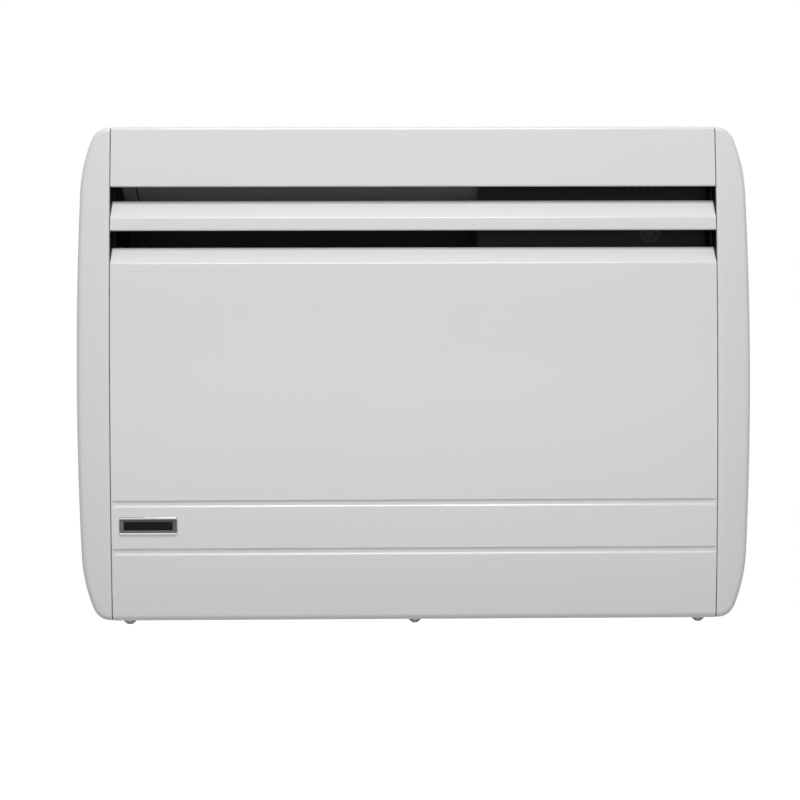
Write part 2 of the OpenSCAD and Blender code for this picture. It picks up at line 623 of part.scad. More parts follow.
module ceramic_bushes() color(ceramic) raised() for (x = support_xs, y = rod_ys)
    translate([x, y, element_h]) rotate([0, 90, 0]) rotate_extrude()
        polygon([[rod_r + run, -4], [bush_outer, -4], [bush_outer, -inner_t / 2 - run], [bush_outer - 2, -inner_t / 2 - run],
            [bush_outer - 2, 3], [rod_r + run, 3]]);

// Cut-out switch on the partition, above the element
module thermal_cutout() color([0.2, 0.16, 0.13]) raised() {
    bar_x(partition_x - 9, partition_x - run, rod_mid_y, element_h + 150, 8);
    bar_x(partition_x - 13, partition_x - 9, rod_mid_y, element_h + 150, 5);
    for (s = [-1, 1]) block([partition_x - 17, partition_x - 13], [rod_mid_y + 3 * s - 0.4, rod_mid_y + 3 * s + 0.4],
        [element_h + 147, element_h + 153]);
}

// Controls in a recess at the right end of the top
mode_slot = [2 * slider_travel + 5.6, 4.6];
module control_fascia() color([0.8, 0.8, 0.8]) raised() difference() {
    union() {
        block([fascia_x0, fascia_x1], [fascia_front, fascia_back], [body_h - fascia_t, body_h]);
        block([recess_x[0] - fascia_t, recess_x[1] + fascia_t - fit], [recess_y[0] - fascia_t, recess_y[1] + fascia_t],
            [floor_under, body_h - fascia_t]);
    }
    block(recess_x, recess_y, [recess_top, body_h + eps]);
    translate([knob_x, control_y, 0]) cylinder(r = shaft_r + 0.8, h = body_h);
    block([rocker_x - 12 - run, rocker_x + 12 + run], [control_y - 7.5 - run, control_y + 7.5 + run],
        [floor_under - eps, body_h]);
    block([mode_x - mode_slot[0] / 2, mode_x + mode_slot[0] / 2], [control_y - mode_slot[1] / 2, control_y + mode_slot[1] / 2],
        [floor_under - eps, body_h]);
    translate([lamp_x, control_y, 0]) cylinder(r = 2.5 + run, h = body_h);
}
thermostat_base = floor_under - 30;
module thermostat_body() color([0.88, 0.87, 0.82]) raised() difference() {
    block([knob_x - 20, knob_x + 20], [control_y - 15, control_y + 15], [thermostat_base, floor_under - run]);
    translate([knob_x, control_y, floor_under - 16]) cylinder(r = shaft_r + run, h = 20);
}
knob_top = body_h + 3;
knob_bottom = recess_top + 0.6;
module thermostat_knob() color([0.9, 0.9, 0.9]) raised() translate([knob_x, control_y, 0]) {
    difference() {
        union() {
            translate([0, 0, knob_bottom]) cylinder(r = knob_r, h = 2.4);
            translate([0, 0, knob_bottom]) cylinder(r = knob_r - 3, h = knob_top - knob_bottom);
        }
        for (i = [0 : 23]) rotate(15 * i) translate([knob_r - 2.2, 0, knob_bottom + 3.4])
            cylinder(r = 1.3, h = knob_top, $fn = 16);
        translate([knob_r - 7, 0, knob_top - 0.8]) cylinder(r = 1.2, h = 2, $fn = 16);
    }
    translate([0, 0, floor_under - 15]) cylinder(r = shaft_r, h = knob_bottom - floor_under + 16);
}
// Bulb of the thermostat in the incoming air, and its capillary up to the thermostat
bulb_x = partition_x + 60;
bulb_y = casing_y - 6;
bulb_h = 24;
bulb_r = 3.5;
bulb_half = 22;
capillary_r = 0.9;
capillary_x = knob_x + 10;
capillary_y = control_y + 8;
module sensor_bulb() color([0.72, 0.45, 0.3]) raised() {
    bar_x(bulb_x - bulb_half, bulb_x + bulb_half, bulb_y, bulb_h, bulb_r);
    block([bulb_x - 5, bulb_x + 5], [bulb_y + bulb_r - 0.5, casing_y], [bulb_h - 3, bulb_h + 3]);
    routed([[bulb_x + bulb_half, bulb_y, bulb_h], [capillary_x, bulb_y, bulb_h],
        [capillary_x, bulb_y, bulb_h + 46], [capillary_x, capillary_y, bulb_h + 46],
        [capillary_x, capillary_y, thermostat_base]], capillary_r, 7);
}

rocker_h = recess_top - 0.6;
rocker_pin_r = 1.2;
rocker_base = recess_top - 14;
module rocker_housing() color(black_paint) raised() translate([rocker_x, control_y, 0]) difference() {
    union() {
        block([-12, 12], [-7.5, 7.5], [rocker_base, recess_top]);
        block([-14, 14], [-9.5, 9.5], [recess_top, recess_top + 1.2]);
    }
    block([-10.4, 10.4], [-6, 6], [recess_top - 11, recess_top + 2]);
    bar_y(0, -7.2, 7.2, rocker_h, rocker_pin_r + run);
}
module power_rocker() color([0.75, 0.1, 0.08]) raised() translate([rocker_x, control_y, rocker_h])
    rotate([0, rocker_swing / 2, 0]) {
        translate([0, 5.6, 0]) rotate([90, 0, 0]) linear_extrude(11.2) polygon([[-9.2, 0], [-9.4, 3.6], [-4.6, 2.6],
            [0, 2.2], [4.6, 2.6], [9.4, 3.6], [9.2, 0], [3.6, -4.4], [-3.6, -4.4]]);
        bar_y(0, -7, 7, 0, rocker_pin_r);
    }
mode_half = slider_travel + 5.5;
module mode_switch() color(black_paint) raised() translate([mode_x, control_y, 0]) difference() {
    block([-mode_half - 3, mode_half + 3], [-6.5, 6.5], [floor_under - 14, floor_under - run]);
    block([-mode_half, mode_half], [-4.3, 4.3], [floor_under - 3, floor_under]);
}
module mode_slider() color([0.12, 0.12, 0.12]) raised() translate([mode_x, control_y, 0]) {
    block([-5, 5], [-4, 4], [floor_under - 2.8, floor_under - 0.6]);
    block([-2.5, 2.5], [-2, 2], [floor_under - 1, recess_top + 1]);
    difference() {
        block([-4, 4], [-3.6, 3.6], [recess_top + 0.4, recess_top + 4.4]);
        for (k = [-1 : 1]) block([2.2 * k - 0.4, 2.2 * k + 0.4], [-4, 4], [recess_top + 3.8, recess_top + 5]);
    }
}
module pilot_lamp() color([0.85, 0.35, 0.1]) raised() translate([lamp_x, control_y, 0]) rotate_extrude()
    polygon([[0, floor_under - 9], [2.5, floor_under - 9], [2.5, recess_top], [3.4, recess_top], [3.2, recess_top + 0.9],
        [2, recess_top + 1.8], [0, recess_top + 2.1]]);

// Supply terminals, leads and the bush that the supply cable comes in by
terminal_x = (partition_x + panel_half) / 2 + 8;
terminal_h = 158;
terminal_tall = 22;
pole_pitch = 12;
leads_y = casing_y - 11;
module terminal_block() color([0.85, 0.83, 0.76]) raised() difference() {
    block([terminal_x - 1.5 * pole_pitch - 3, terminal_x + 1.5 * pole_pitch + 3], [casing_y - 20, casing_y],
        [terminal_h, terminal_h + terminal_tall]);
    for (k = [-1 : 1], h = [6, terminal_tall - 6])
        bar_y(terminal_x + k * pole_pitch, casing_y - 21, casing_y - 13, terminal_h + h, 3);
    for (k = [-1 : 1]) translate([terminal_x + k * pole_pitch, leads_y, terminal_h - 1]) cylinder(r = 2.6, h = 5);
    for (k = [-0.5, 0.5]) block([terminal_x + k * pole_pitch - 0.6, terminal_x + k * pole_pitch + 0.6],
        [casing_y - 21, casing_y - 16], [terminal_h - 1, terminal_h + terminal_tall + 1]);
}
lead_r = 1.3;
lead_bend = 6;
lead_gap = 5;
lead_x = rod_end + pin_len + 16;
lead_level = thermostat_base - 24;
supply_level = lead_level - 16;
module supply_leads() color([0.2, 0.25, 0.55]) raised() for (k = [-1 : 1])
    routed([[terminal_x + k * lead_gap, leads_y, terminal_h + terminal_tall],
        [terminal_x + k * lead_gap, leads_y, supply_level],
        [terminal_x + k * lead_gap, control_y, supply_level],
        [terminal_x + k * lead_gap, control_y, rocker_base]], lead_r, lead_bend);
module element_leads() color([0.6, 0.58, 0.5]) raised() for (i = [0, 1])
    routed([[rod_end + pin_len, rod_ys[i], element_h], [lead_x, rod_ys[i], element_h],
        [lead_x, rod_ys[i], lead_level], [knob_x - 10, rod_ys[i], lead_level],
        [knob_x - 10, rod_ys[i], thermostat_base]], lead_r, lead_bend);
module cable_bush() color([0.15, 0.15, 0.15]) raised() translate([cable_x, back_y + 2, cable_h]) rotate([90, 0, 0])
    rotate_extrude() polygon([[cable_r, 0], [bush_r + 1, 0], [bush_r + 2, 1], [bush_r + 2, 2 - run], [bush_r, 2 - run],
        [bush_r, 2 + inner_t + run], [bush_r + 1.5, 2 + inner_t + run], [bush_r + 1, 9], [cable_r, 9]]);

// Ears and studs on the heater's back
module stadium(y0, y1, h, r) {
    translate([y0, h]) circle(r = r);
    translate([y1, h - r]) square([y0 - y1, 2 * r]);
}
module casing_ears() color(zinc) both_sides() {
    across(casing_ear_x - ear_t, casing_ear_x) difference() {
        stadium(pivot_y, back_y, pivot_h, ear_r);
        translate([pivot_y, pivot_h]) circle(r = pivot_r + run);
    }
    raised() block([casing_ear_x - 14, casing_ear_x], [back_y, back_y + 1.5], [pivot_h - 12, pivot_h + 12]);
}
module catch_studs() color(zinc) raised() both_sides() translate([rail_x, back_y, catch_h]) rotate([-90, 0, 0])
    rotate_extrude() polygon([[0, 0], [7, 0], [7, 1.5], [stud_r, 1.5], [stud_r, standoff - 6], [stud_r - 1, standoff - 5],
        [0, standoff - 5]]);

// Wall bracket: two rails, two bars, the pins that the heater tilts on and the clips that hold its studs
module right_rail_shape() difference() {
    union() {
        raised() {
            block([rail_x - rail_w / 2, rail_x + rail_w / 2], [-bracket_t, 0], [rail_bottom, rail_top]);
            block([rail_x + rail_w / 2 - bracket_t, rail_x + rail_w / 2], [-7, -bracket_t], [rail_bottom, rail_top]);
            block([rail_inner, rail_inner + bracket_t], [-7, -bracket_t], [rail_bottom, rail_top]);
        }
        across(rail_inner, rail_inner + bracket_t) stadium(pivot_y, -bracket_t, pivot_h, ear_r);
    }
    raised() bar_x(rail_inner - eps, rail_inner + bracket_t + eps, pivot_y, pivot_h, pivot_r + run);
    for (s = [-1, 1]) bar_y(rail_x, -bracket_t - eps, eps, s * screw_pitch_z / 2, screw_hole_r);
}
module bracket_rail_right() color(zinc) right_rail_shape();
module bracket_rail_left() color(zinc) mirror([1, 0, 0]) right_rail_shape();
bar_h = 22;
module cross_bar(h) raised() {
    block([-rail_inner, rail_inner], [-bracket_t, 0], [h, h + bar_h]);
    block([-rail_inner, rail_inner], [-5, -bracket_t], [h, h + bracket_t]);
}
module bracket_bar_upper() color(zinc) cross_bar(body_h / 2 + screw_pitch_z / 2 - bar_h / 2);
module bracket_bar_lower() color(zinc) cross_bar(body_h / 2 - screw_pitch_z / 2 - bar_h / 2);
module pivot_pins() color(bright) raised() both_sides() {
    bar_x(casing_ear_x - ear_t - 2, rail_inner + bracket_t + 2, pivot_y, pivot_h, pivot_r);
}
clip_t = 0.8;
clip_len = 14;
module catch_clips() color(bright) both_sides()
    translate([rail_x, 0, catch_h - body_h / 2 - clip_len / 2]) linear_extrude(clip_len) {
        translate([-9, -bracket_t - clip_t]) square([18, clip_t]);
        for (s = [-1, 1]) translate([s * (stud_r + 0.1 + clip_t / 2) - clip_t / 2, back_y + 3])
            square([clip_t, standoff - 3 - bracket_t]);
    }

front_panel();
top_panel();
outlet_louvre();
left_end_cap();
right_end_cap();
left_side_frame();
right_side_frame();
rear_casing();
inlet_grille();
bottom_screws();
cap_screws();
badge_frame();
badge_plate();
air_deflector();
partition_plate();
control_cover();
cover_plug();
element_fins();
heating_rod();
rod_supports();
ceramic_bushes();
thermal_cutout();
control_fascia();
thermostat_body();
thermostat_knob();
sensor_bulb();
rocker_housing();
power_rocker();
mode_switch();
mode_slider();
pilot_lamp();
terminal_block();
supply_leads();
element_leads();
cable_bush();
casing_ears();
catch_studs();
bracket_rail_left();
bracket_rail_right();
bracket_bar_upper();
bracket_bar_lower();
pivot_pins();
catch_clips();
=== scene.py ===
import math

import bmesh
import bpy
import numpy as np
from mathutils import Matrix, Vector
from mathutils.geometry import tessellate_polygon


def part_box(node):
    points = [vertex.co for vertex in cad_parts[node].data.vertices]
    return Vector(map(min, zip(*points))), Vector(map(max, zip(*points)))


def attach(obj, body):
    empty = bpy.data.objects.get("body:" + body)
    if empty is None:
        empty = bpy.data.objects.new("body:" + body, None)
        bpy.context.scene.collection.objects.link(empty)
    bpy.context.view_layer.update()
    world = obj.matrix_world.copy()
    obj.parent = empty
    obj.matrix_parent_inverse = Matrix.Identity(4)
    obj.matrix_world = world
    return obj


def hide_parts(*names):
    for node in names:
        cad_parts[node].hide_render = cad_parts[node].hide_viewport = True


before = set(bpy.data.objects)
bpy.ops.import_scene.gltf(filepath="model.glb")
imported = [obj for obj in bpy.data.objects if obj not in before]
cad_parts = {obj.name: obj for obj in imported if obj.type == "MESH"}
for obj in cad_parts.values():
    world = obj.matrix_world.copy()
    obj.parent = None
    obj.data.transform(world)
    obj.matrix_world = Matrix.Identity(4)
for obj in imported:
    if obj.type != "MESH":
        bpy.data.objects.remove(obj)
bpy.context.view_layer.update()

# Wall bracket: two rails and two cross bars, screwed to the wall. They are bent from hot-dip galvanised
# steel 1.6 mm thick, as are the heater's ears and the supports of its element.
MM = 0.001


def hex_colour(code):
    """sRGB hex colour as linear red, green, blue and alpha."""
    srgb = np.array([int(code[i : i + 2], 16) / 255 for i in (0, 2, 4)])
    linear = np.where(srgb <= 0.04045, srgb / 12.92, ((srgb + 0.055) / 1.055) ** 2.4)
    return (*linear.tolist(), 1.0)


def fill_sockets(tree, node, inputs):
    """Fills a node's sockets: another node gives its first output, a string is an sRGB hex colour, and the
    rest are outputs to link and plain values."""
    for key, value in dict(inputs).items():
        if isinstance(value, bpy.types.Node):
            value = next(socket for socket in value.outputs if socket.enabled)
        if isinstance(value, bpy.types.NodeSocket):
            tree.links.new(value, node.inputs[key])
        else:
            node.inputs[key].default_value = hex_colour(value) if isinstance(value, str) else value


def add_node(tree, kind, inputs=(), **settings):
    """Adds one node of a kind, sets its properties and fills its sockets."""
    node = tree.nodes.new("ShaderNode" + kind)
    for key, value in settings.items():
        setattr(node, key, value)
    fill_sockets(tree, node, inputs)
    return node


def new_material(name):
    """Node material: itself, its tree, its Principled shader and the place on the piece."""
    material = bpy.data.materials.new(name)
    material.use_nodes = True
    tree = material.node_tree
    place = add_node(tree, "TexCoord").outputs["Object"]
    return material, tree, tree.nodes["Principled BSDF"], place


def finish_nodes(material, *names):
    """Gives CAD nodes that are shown as they are their finish."""
    for name in names:
        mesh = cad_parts[name].data
        mesh.materials.clear()
        mesh.materials.append(material)


def galvanised(name, light, dark, spangle_mm=9):
    """Hot-dip galvanised sheet: flat zinc crystals about 1 cm across, each with its own grey and sheen."""
    material, tree, shader, place = new_material(name)
    crystals = add_node(tree, "TexVoronoi", {"Vector": place, "Scale": 1 / (spangle_mm * MM)})
    tone = add_node(tree, "SeparateColor", {"Color": crystals.outputs["Color"]}).outputs
    grey = add_node(tree, "Mix", {"Factor": tone["Red"], "A": dark, "B": light}, data_type="RGBA")
    sheen = add_node(tree, "MapRange", {"Value": tone["Green"], "To Min": 0.36, "To Max": 0.54})
    fill_sockets(tree, shader, {"Base Color": grey, "Roughness": sheen, "Metallic": 1.0})
    return material


finish_nodes(galvanised("galvanised_steel", "A9ACAD", "8E9192"), "bracket_rail_left", "bracket_rail_right",
             "bracket_bar_upper", "bracket_bar_lower", "casing_ears", "rod_supports")

# Pivot pins, catch studs and screws: cold-headed steel, zinc plated. Each pin is riveted to a rail and runs
# in the heater's ear. The studs are on the back sheet, and spring clips grip them near the top.


def bright_metal(name, colour, other, roughness, patch_mm):
    """Plated, drawn or rolled metal: tone and polish drift a little in soft patches of the given size."""
    material, tree, shader, place = new_material(name)
    patches = add_node(tree, "TexNoise", {"Vector": place, "Scale": 1 / (patch_mm * MM), "Detail": 3.0})
    tone = add_node(tree, "Mix", {"Factor": patches, "A": colour, "B": other}, data_type="RGBA")
    polish = add_node(tree, "MapRange",
                      {"Value": patches, "To Min": roughness - 0.06, "To Max": roughness + 0.06})
    fill_sockets(tree, shader, {"Base Color": tone, "Roughness": polish, "Metallic": 1.0})
    return material


zinc_plate = bright_metal("bright_zinc_plate", "C9CCCE", "BDC0C0", 0.3, patch_mm=3)
finish_nodes(zinc_plate, "pivot_pins", "catch_studs", "cap_screws")
finish_nodes(bright_metal("blued_spring_steel", "8E9195", "7C7F86", 0.28, patch_mm=4), "catch_clips")

# Casing: the back sheet, the side frames and the shield in front of the controls are steel 1 mm thick,
# coated black and dark grey. These dark coats are partly painted shade: they are darker than the sheet needs,
# so that the inside of the outlet reads as deep shade. The slotted plate in the foot is white.


def powder_coat(name, colour, other, roughness, gloss=0.5, peel=0.05, peel_mm=1.6):
    """Polyester powder coat, sprayed dry and baked: an even film with a faint orange peel, which is drawn a
    little coarser than the real 1 mm. The colour drifts by a hair over the width of a hand. A matting agent
    lowers the gloss of the black film, which otherwise mirrors the bright room."""
    material, tree, shader, place = new_material(name)
    drift = add_node(tree, "TexNoise", {"Vector": place, "Scale": 9.0})
    tone = add_node(tree, "Mix", {"Factor": drift, "A": colour, "B": other}, data_type="RGBA")
    ripple = add_node(tree, "TexNoise", {"Vector": place, "Scale": 1 / (peel_mm * MM), "Detail": 1.0})
    speck = add_node(tree, "MapRange",
                     {"Value": ripple, "To Min": roughness - 0.01, "To Max": roughness + 0.01})
    bump = add_node(tree, "Bump", {"Height": ripple, "Strength": peel, "Distance": 0.05 * MM})
    fill_sockets(tree, shader, {"Base Color": tone, "Roughness": speck, "Normal": bump, "IOR": 1.5,
                                "Specular IOR Level": gloss})
    return material


# The black here and the shield's dark grey below are partly painted shade for the inside of the outlet.
finish_nodes(powder_coat("matt_black_powder_coat", "0C0C0C", "0F0F0F", 0.5, gloss=0.12), "rear_casing",
             "left_side_frame", "right_side_frame")
finish_nodes(powder_coat("dark_grey_powder_coat", "1E1E1E", "212121", 0.5, gloss=0.1), "control_cover")
white_coat = powder_coat("satin_white_powder_coat", "DAD8DA", "D8D6D8", 0.23, peel=0.02)
finish_nodes(white_coat, "inlet_grille")

# Element: a hairpin rod in a stainless sheath, tinted straw and blue by the heat. It is pressed into a
# finned aluminium extrusion and held by steatite bushes. A cut-out switch sits above it.


def extruded_aluminium(streak_mm=0.6, run_mm=40):
    """Extruded aluminium: matt, with fine die lines that run along X, drawn coarser than they are."""
    material, tree, shader, place = new_material("extruded_aluminium")
    per_metre = (1 / (run_mm * MM), 1 / (streak_mm * MM), 1 / (streak_mm * MM))
    along = add_node(tree, "Mapping", {"Vector": place, "Scale": per_metre})
    lines = add_node(tree, "TexNoise", {"Vector": along, "Scale": 1.0})
    tone = add_node(tree, "Mix", {"Factor": lines, "A": "A8AAAC", "B": "96989A"}, data_type="RGBA")
    bump = add_node(tree, "Bump", {"Height": lines, "Strength": 0.2, "Distance": 0.05 * MM})
    fill_sockets(tree, shader, {"Base Color": tone, "Normal": bump, "Metallic": 1.0, "Roughness": 0.45})
    return material


def heat_tinted_steel(band_mm=30):
    """Stainless sheath after firing: straw and blue oxide tints in soft bands along the rod."""
    material, tree, shader, place = new_material("heat_tinted_stainless")
    bands = add_node(tree, "TexNoise", {"Vector": place, "Scale": 1 / (band_mm * MM), "Detail": 1.0})
    tint = add_node(tree, "ValToRGB", {"Fac": bands})
    stops = tint.color_ramp.elements
    stops.new(0.5)
    for stop, at, code in zip(stops, (0.35, 0.5, 0.7), ("8E8A80", "8C7454", "5C6274")):
        stop.position, stop.color = at, hex_colour(code)
    fill_sockets(tree, shader, {"Base Color": tint, "Metallic": 1.0, "Roughness": 0.36})
    return material


def moulded(name, colour, other, roughness, grain_mm, grain):
    """Moulded or pressed material: an even colour with a slight drift, and the mould's grain as a bump."""
    material, tree, shader, place = new_material(name)
    drift = add_node(tree, "TexNoise", {"Vector": place, "Scale": 30.0})
    tone = add_node(tree, "Mix", {"Factor": drift, "A": colour, "B": other}, data_type="RGBA")
    grit = add_node(tree, "TexNoise", {"Vector": place, "Scale": 1 / (grain_mm * MM)})
    bump = add_node(tree, "Bump", {"Height": grit, "Strength": grain, "Distance": 0.1 * MM})
    fill_sockets(tree, shader, {"Base Color": tone, "Normal": bump, "Roughness": roughness})
    return material


finish_nodes(extruded_aluminium(), "element_fins")
finish_nodes(heat_tinted_steel(), "heating_rod")
finish_nodes(moulded("steatite_ceramic", "EDE8DC", "E4DED0", 0.7, grain_mm=0.8, grain=0.3), "ceramic_bushes")
finish_nodes(moulded("brown_phenolic", "33211A", "2A1A14", 0.45, grain_mm=0.6, grain=0.15), "thermal_cutout")

# Air guides: the plate between the hot chamber and the controls, and the sloping deflector, which is made
# further down. They are of dull grey aluminised steel, and the plate's darker grey is painted shade. A rubber
# plug closes the hole in the shield.


def aluminised_steel(name, colour, metallic, roughness):
    """Steel dipped in aluminium: dull grey, with faint rolling streaks about 80 mm long and 1 mm wide."""
    material, tree, shader, place = new_material(name)
    per_metre = (12.0, 900.0, 900.0)
    across = add_node(tree, "Mapping", {"Vector": place, "Scale": per_metre})
    streaks = add_node(tree, "TexNoise", {"Vector": across, "Scale": 1.0})
    sheen = add_node(tree, "MapRange",
                     {"Value": streaks, "To Min": roughness - 0.04, "To Max": roughness + 0.04})
    fill_sockets(tree, shader, {"Base Color": colour, "Metallic": metallic, "Roughness": sheen})
    return material


# The plate's dark grey is painted shade, for the shadow that it stands in beside the controls.
finish_nodes(aluminised_steel("shaded_aluminised_steel", "565656", 0.5, 0.6), "partition_plate")
black_rubber = moulded("black_rubber", "191919", "1E1E1E", 0.7, grain_mm=0.5, grain=0.2)
finish_nodes(black_rubber, "cover_plug", "cable_bush")

# Wiring and switchgear under the controls: phenolic bodies, three supply leads in PVC, two leads to the
# element in braided glass sleeving, and the thermostat's copper bulb in the air that comes in.


def supply_insulation():
    """PVC on the three supply leads: brown, blue and green, told apart by where each lead runs."""
    material, tree, shader, place = new_material("pvc_insulation")
    low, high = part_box("supply_leads")
    across = add_node(tree, "SeparateXYZ", {"Vector": place}).outputs["X"]
    share = add_node(tree, "MapRange", {"Value": across, "From Min": low.x, "From Max": high.x})
    lead = add_node(tree, "ValToRGB", {"Fac": share})
    lead.color_ramp.interpolation = "CONSTANT"
    stops = lead.color_ramp.elements
    stops.new(0.33)
    for stop, at, code in zip(stops, (0, 0.33, 0.67), ("5A3320", "20408A", "4E7A2E")):
        stop.position, stop.color = at, hex_colour(code)
    fill_sockets(tree, shader, {"Base Color": lead, "Roughness": 0.4})
    return material


def glass_sleeving(yarn_mm=1.1):
    """Braided glass sleeving: cream yarns about 1 mm wide, with painted shade in the hollows where they
    cross.
    """
    material, tree, shader, place = new_material("braided_glass_sleeving")
    hollow = add_node(tree, "TexVoronoi", {"Vector": place, "Scale": 1 / (yarn_mm * MM)}).outputs["Distance"]
    # Painted shade: darker towards the hollows between the yarns.
    tone = add_node(tree, "Mix", {"Factor": hollow, "A": "D8D0B8", "B": "9C927A"}, data_type="RGBA")
    bump = add_node(tree, "Bump", {"Height": hollow, "Strength": 0.5, "Distance": 0.2 * MM}, invert=True)
    fill_sockets(tree, shader, {"Base Color": tone, "Normal": bump, "Roughness": 0.65})
    return material


cream_phenolic = moulded("cream_phenolic", "D9D0BC", "D0C6B0", 0.42, grain_mm=0.6, grain=0.1)
finish_nodes(cream_phenolic, "thermostat_body", "terminal_block")
finish_nodes(supply_insulation(), "supply_leads")
finish_nodes(glass_sleeving(), "element_leads")
finish_nodes(bright_metal("drawn_copper", "B87254", "A2614A", 0.32, patch_mm=6), "sensor_bulb")

# Lower front panel: one sheet of 1.2 mm steel, folded back into a sloping lip at the outlet and under the
# heater at its foot. Two grooves pressed across it die out at its ends. It is coated in satin white.
panel_low, panel_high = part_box("front_panel")
floor_of_body = panel_low.z
panel_half = panel_high.x
standoff, body_depth, body_height = 18 * MM, 94 * MM, 448 * MM
bow_radius = 2.7
crest = 244 * MM
sheet_t = 1.2 * MM
slope_depth = 15 * MM
visor_drop, upper_slot, lower_slot = 55.3 * MM, 11.35 * MM, 14.15 * MM
louvre_rise, louvre_face, lip_rise = 17.2 * MM, 11.3 * MM, 15.8 * MM
visor_edge = body_height - visor_drop
louvre_top = visor_edge - upper_slot
louvre_fold = louvre_top - louvre_rise
louvre_edge = louvre_fold - louvre_face
lip_top = louvre_edge - lower_slot
lip_fold = lip_top - lip_rise
hem = 7 * MM
fold_radius, nose_radius, edge_radius = 1.6 * MM, 2.8 * MM, 1.3 * MM
edge_return = 2 * MM
bottom_bend, bottom_flange = 6 * MM, 28 * MM
upper_groove, lower_groove = 106.8 * MM, 63.3 * MM
groove_wall = 2.45 * MM
groove_slopes = (0.5 * MM, 1.25 * MM)
groove_depth, groove_fade = 1.15 * MM, 4 * MM
groove_step = 0.12 * MM


def front_y(h):
    """Front of the body at height h above its lower edge: a circle of the bow's radius about the crest."""
    return bow_radius - np.sqrt(bow_radius**2 - (h - crest) ** 2) - standoff - body_depth


def bent(corners, per_turn=3.0):
    """Path through [y, h, bend radius] corners, each turned by an arc tangent to both its sides."""
    points = []
    corners = [np.array(c, float) for c in corners]
    for i, c in enumerate(corners):
        if i in (0, len(corners) - 1) or c[2] == 0:
            points.append(c[:2])
            continue
        a = c[:2] - corners[i - 1][:2]
        b = corners[i + 1][:2] - c[:2]
        a, b = a / np.linalg.norm(a), b / np.linalg.norm(b)
        turn = math.atan2(a[0] * b[1] - a[1] * b[0], a @ b)
        side = math.copysign(1, turn)
        centre = c[:2] - a * c[2] * math.tan(abs(turn) / 2) + side * c[2] * np.array([-a[1], a[0]])
        steps = max(2, math.ceil(math.degrees(abs(turn)) / per_turn))
        q = turn * np.arange(steps + 1) / steps
        d = np.stack([a[0] * np.cos(q) - a[1] * np.sin(q), a[0] * np.sin(q) + a[1] * np.cos(q)], 1)
        points.extend(centre - side * c[2] * np.stack([-d[:, 1], d[:, 0]], 1))
    return np.array(points)


def rolled_corner(h, rise):
    """Corner of a slope that starts at a fold at height h and is rolled down at its rear edge. The corner
    is placed so that the roll's top, not the corner, lies the given rise above the fold."""
    a, b = slope_depth - fold_radius, rise - fold_radius
    lean = math.acos(fold_radius / math.hypot(a, b)) - math.atan2(b, a)
    return [front_y(h) + slope_depth, h + slope_depth / math.tan(lean), fold_radius]


def bowed(h0, h1, step):
    """Plain corners on the bowed front from height h0 down to h1, no further apart than the step."""
    return [[front_y(h), h, 0] for h in np.linspace(h0, h1, max(2, math.ceil(abs(h0 - h1) / step) + 1))]


def groove_dip(h, x):
    """How far the grooves press the panel back at height h and distance x from its middle. Across, a groove
    is a flat floor between a steep upper wall and a gentler lower one, and each follows the smooth step
    3t^2 - 2t^3. Along, it dies out by the same step."""
    above = h[..., None] - np.array([upper_groove, lower_groove])
    above = np.take_along_axis(above, np.abs(above).argmin(-1)[..., None], -1)[..., 0]
    slope = np.where(above > 0, *groove_slopes)
    across = np.clip((groove_wall + slope - np.abs(above)) / (2 * slope), 0, 1)
    along = np.clip((panel_half - x) / groove_fade, 0, 1)
    return groove_depth * across**2 * (3 - 2 * across) * along**2 * (3 - 2 * along)


def stations(radius=0.35 * MM, step=24 * MM, fine=()):
    """Places across the panel from end to end, the fine ones among them, and closer at the rounded edges."""
    edge = panel_half - radius * (1 - np.sin(np.radians([0, 30, 60, 90])))
    inner = np.linspace(0, panel_half - radius - 0.1 * MM, int(panel_half / step))[1:]
    right = np.unique(np.concatenate([inner, edge, np.array(fine)]))
    return np.concatenate([-right[::-1], [0.0], right])


def new_object(name, data):
    """Object with this data, linked to the scene and left at its origin."""
    obj = bpy.data.objects.new(name, data)
    bpy.context.scene.collection.objects.link(obj)
    return obj


def mesh_of(name, points, faces, smooth_angle=40):
    """Object with these points and faces, smooth except across edges sharper than the angle. Points that
    fall on each other are made one."""
    mesh = bpy.data.meshes.new(name)
    mesh.from_pydata(points.reshape(-1, 3), [], faces)
    merged = bmesh.new()
    merged.from_mesh(mesh)
    bmesh.ops.remove_doubles(merged, verts=merged.verts, dist=0.001 * MM)
    merged.to_mesh(mesh)
    merged.free()
    mesh.validate()
    mesh.update()
    mesh.polygons.foreach_set("use_smooth", np.ones(len(mesh.polygons), bool))
    mesh.set_sharp_from_angle(angle=math.radians(smooth_angle))
    return new_object(name, mesh)


def thick_sheet(name, outer, inner, smooth_angle=40):
    """Closed sheet between two grids of the same size: quads over both, and rims along all four edges."""
    n, m = outer.shape[:2]
    size = n * m
    i, j = np.meshgrid(np.arange(n - 1), np.arange(m - 1), indexing="ij")
    a = i * m + j
    front = np.stack([a, a + m, a + m + 1, a + 1], -1).reshape(-1, 4)
    number = np.arange(size).reshape(n, m)
    edges = [number[0], number[:, -1], number[-1, ::-1], number[::-1, 0]]
    rim = np.concatenate([np.stack([e[:-1], e[1:], e[1:] + size, e[:-1] + size], 1) for e in edges])
    faces = np.concatenate([front[:, ::-1], front + size, rim[:, ::-1]])
    points = np.concatenate([outer.reshape(-1, 3), inner.reshape(-1, 3)])
    return mesh_of(name, points, faces.tolist(), smooth_angle)


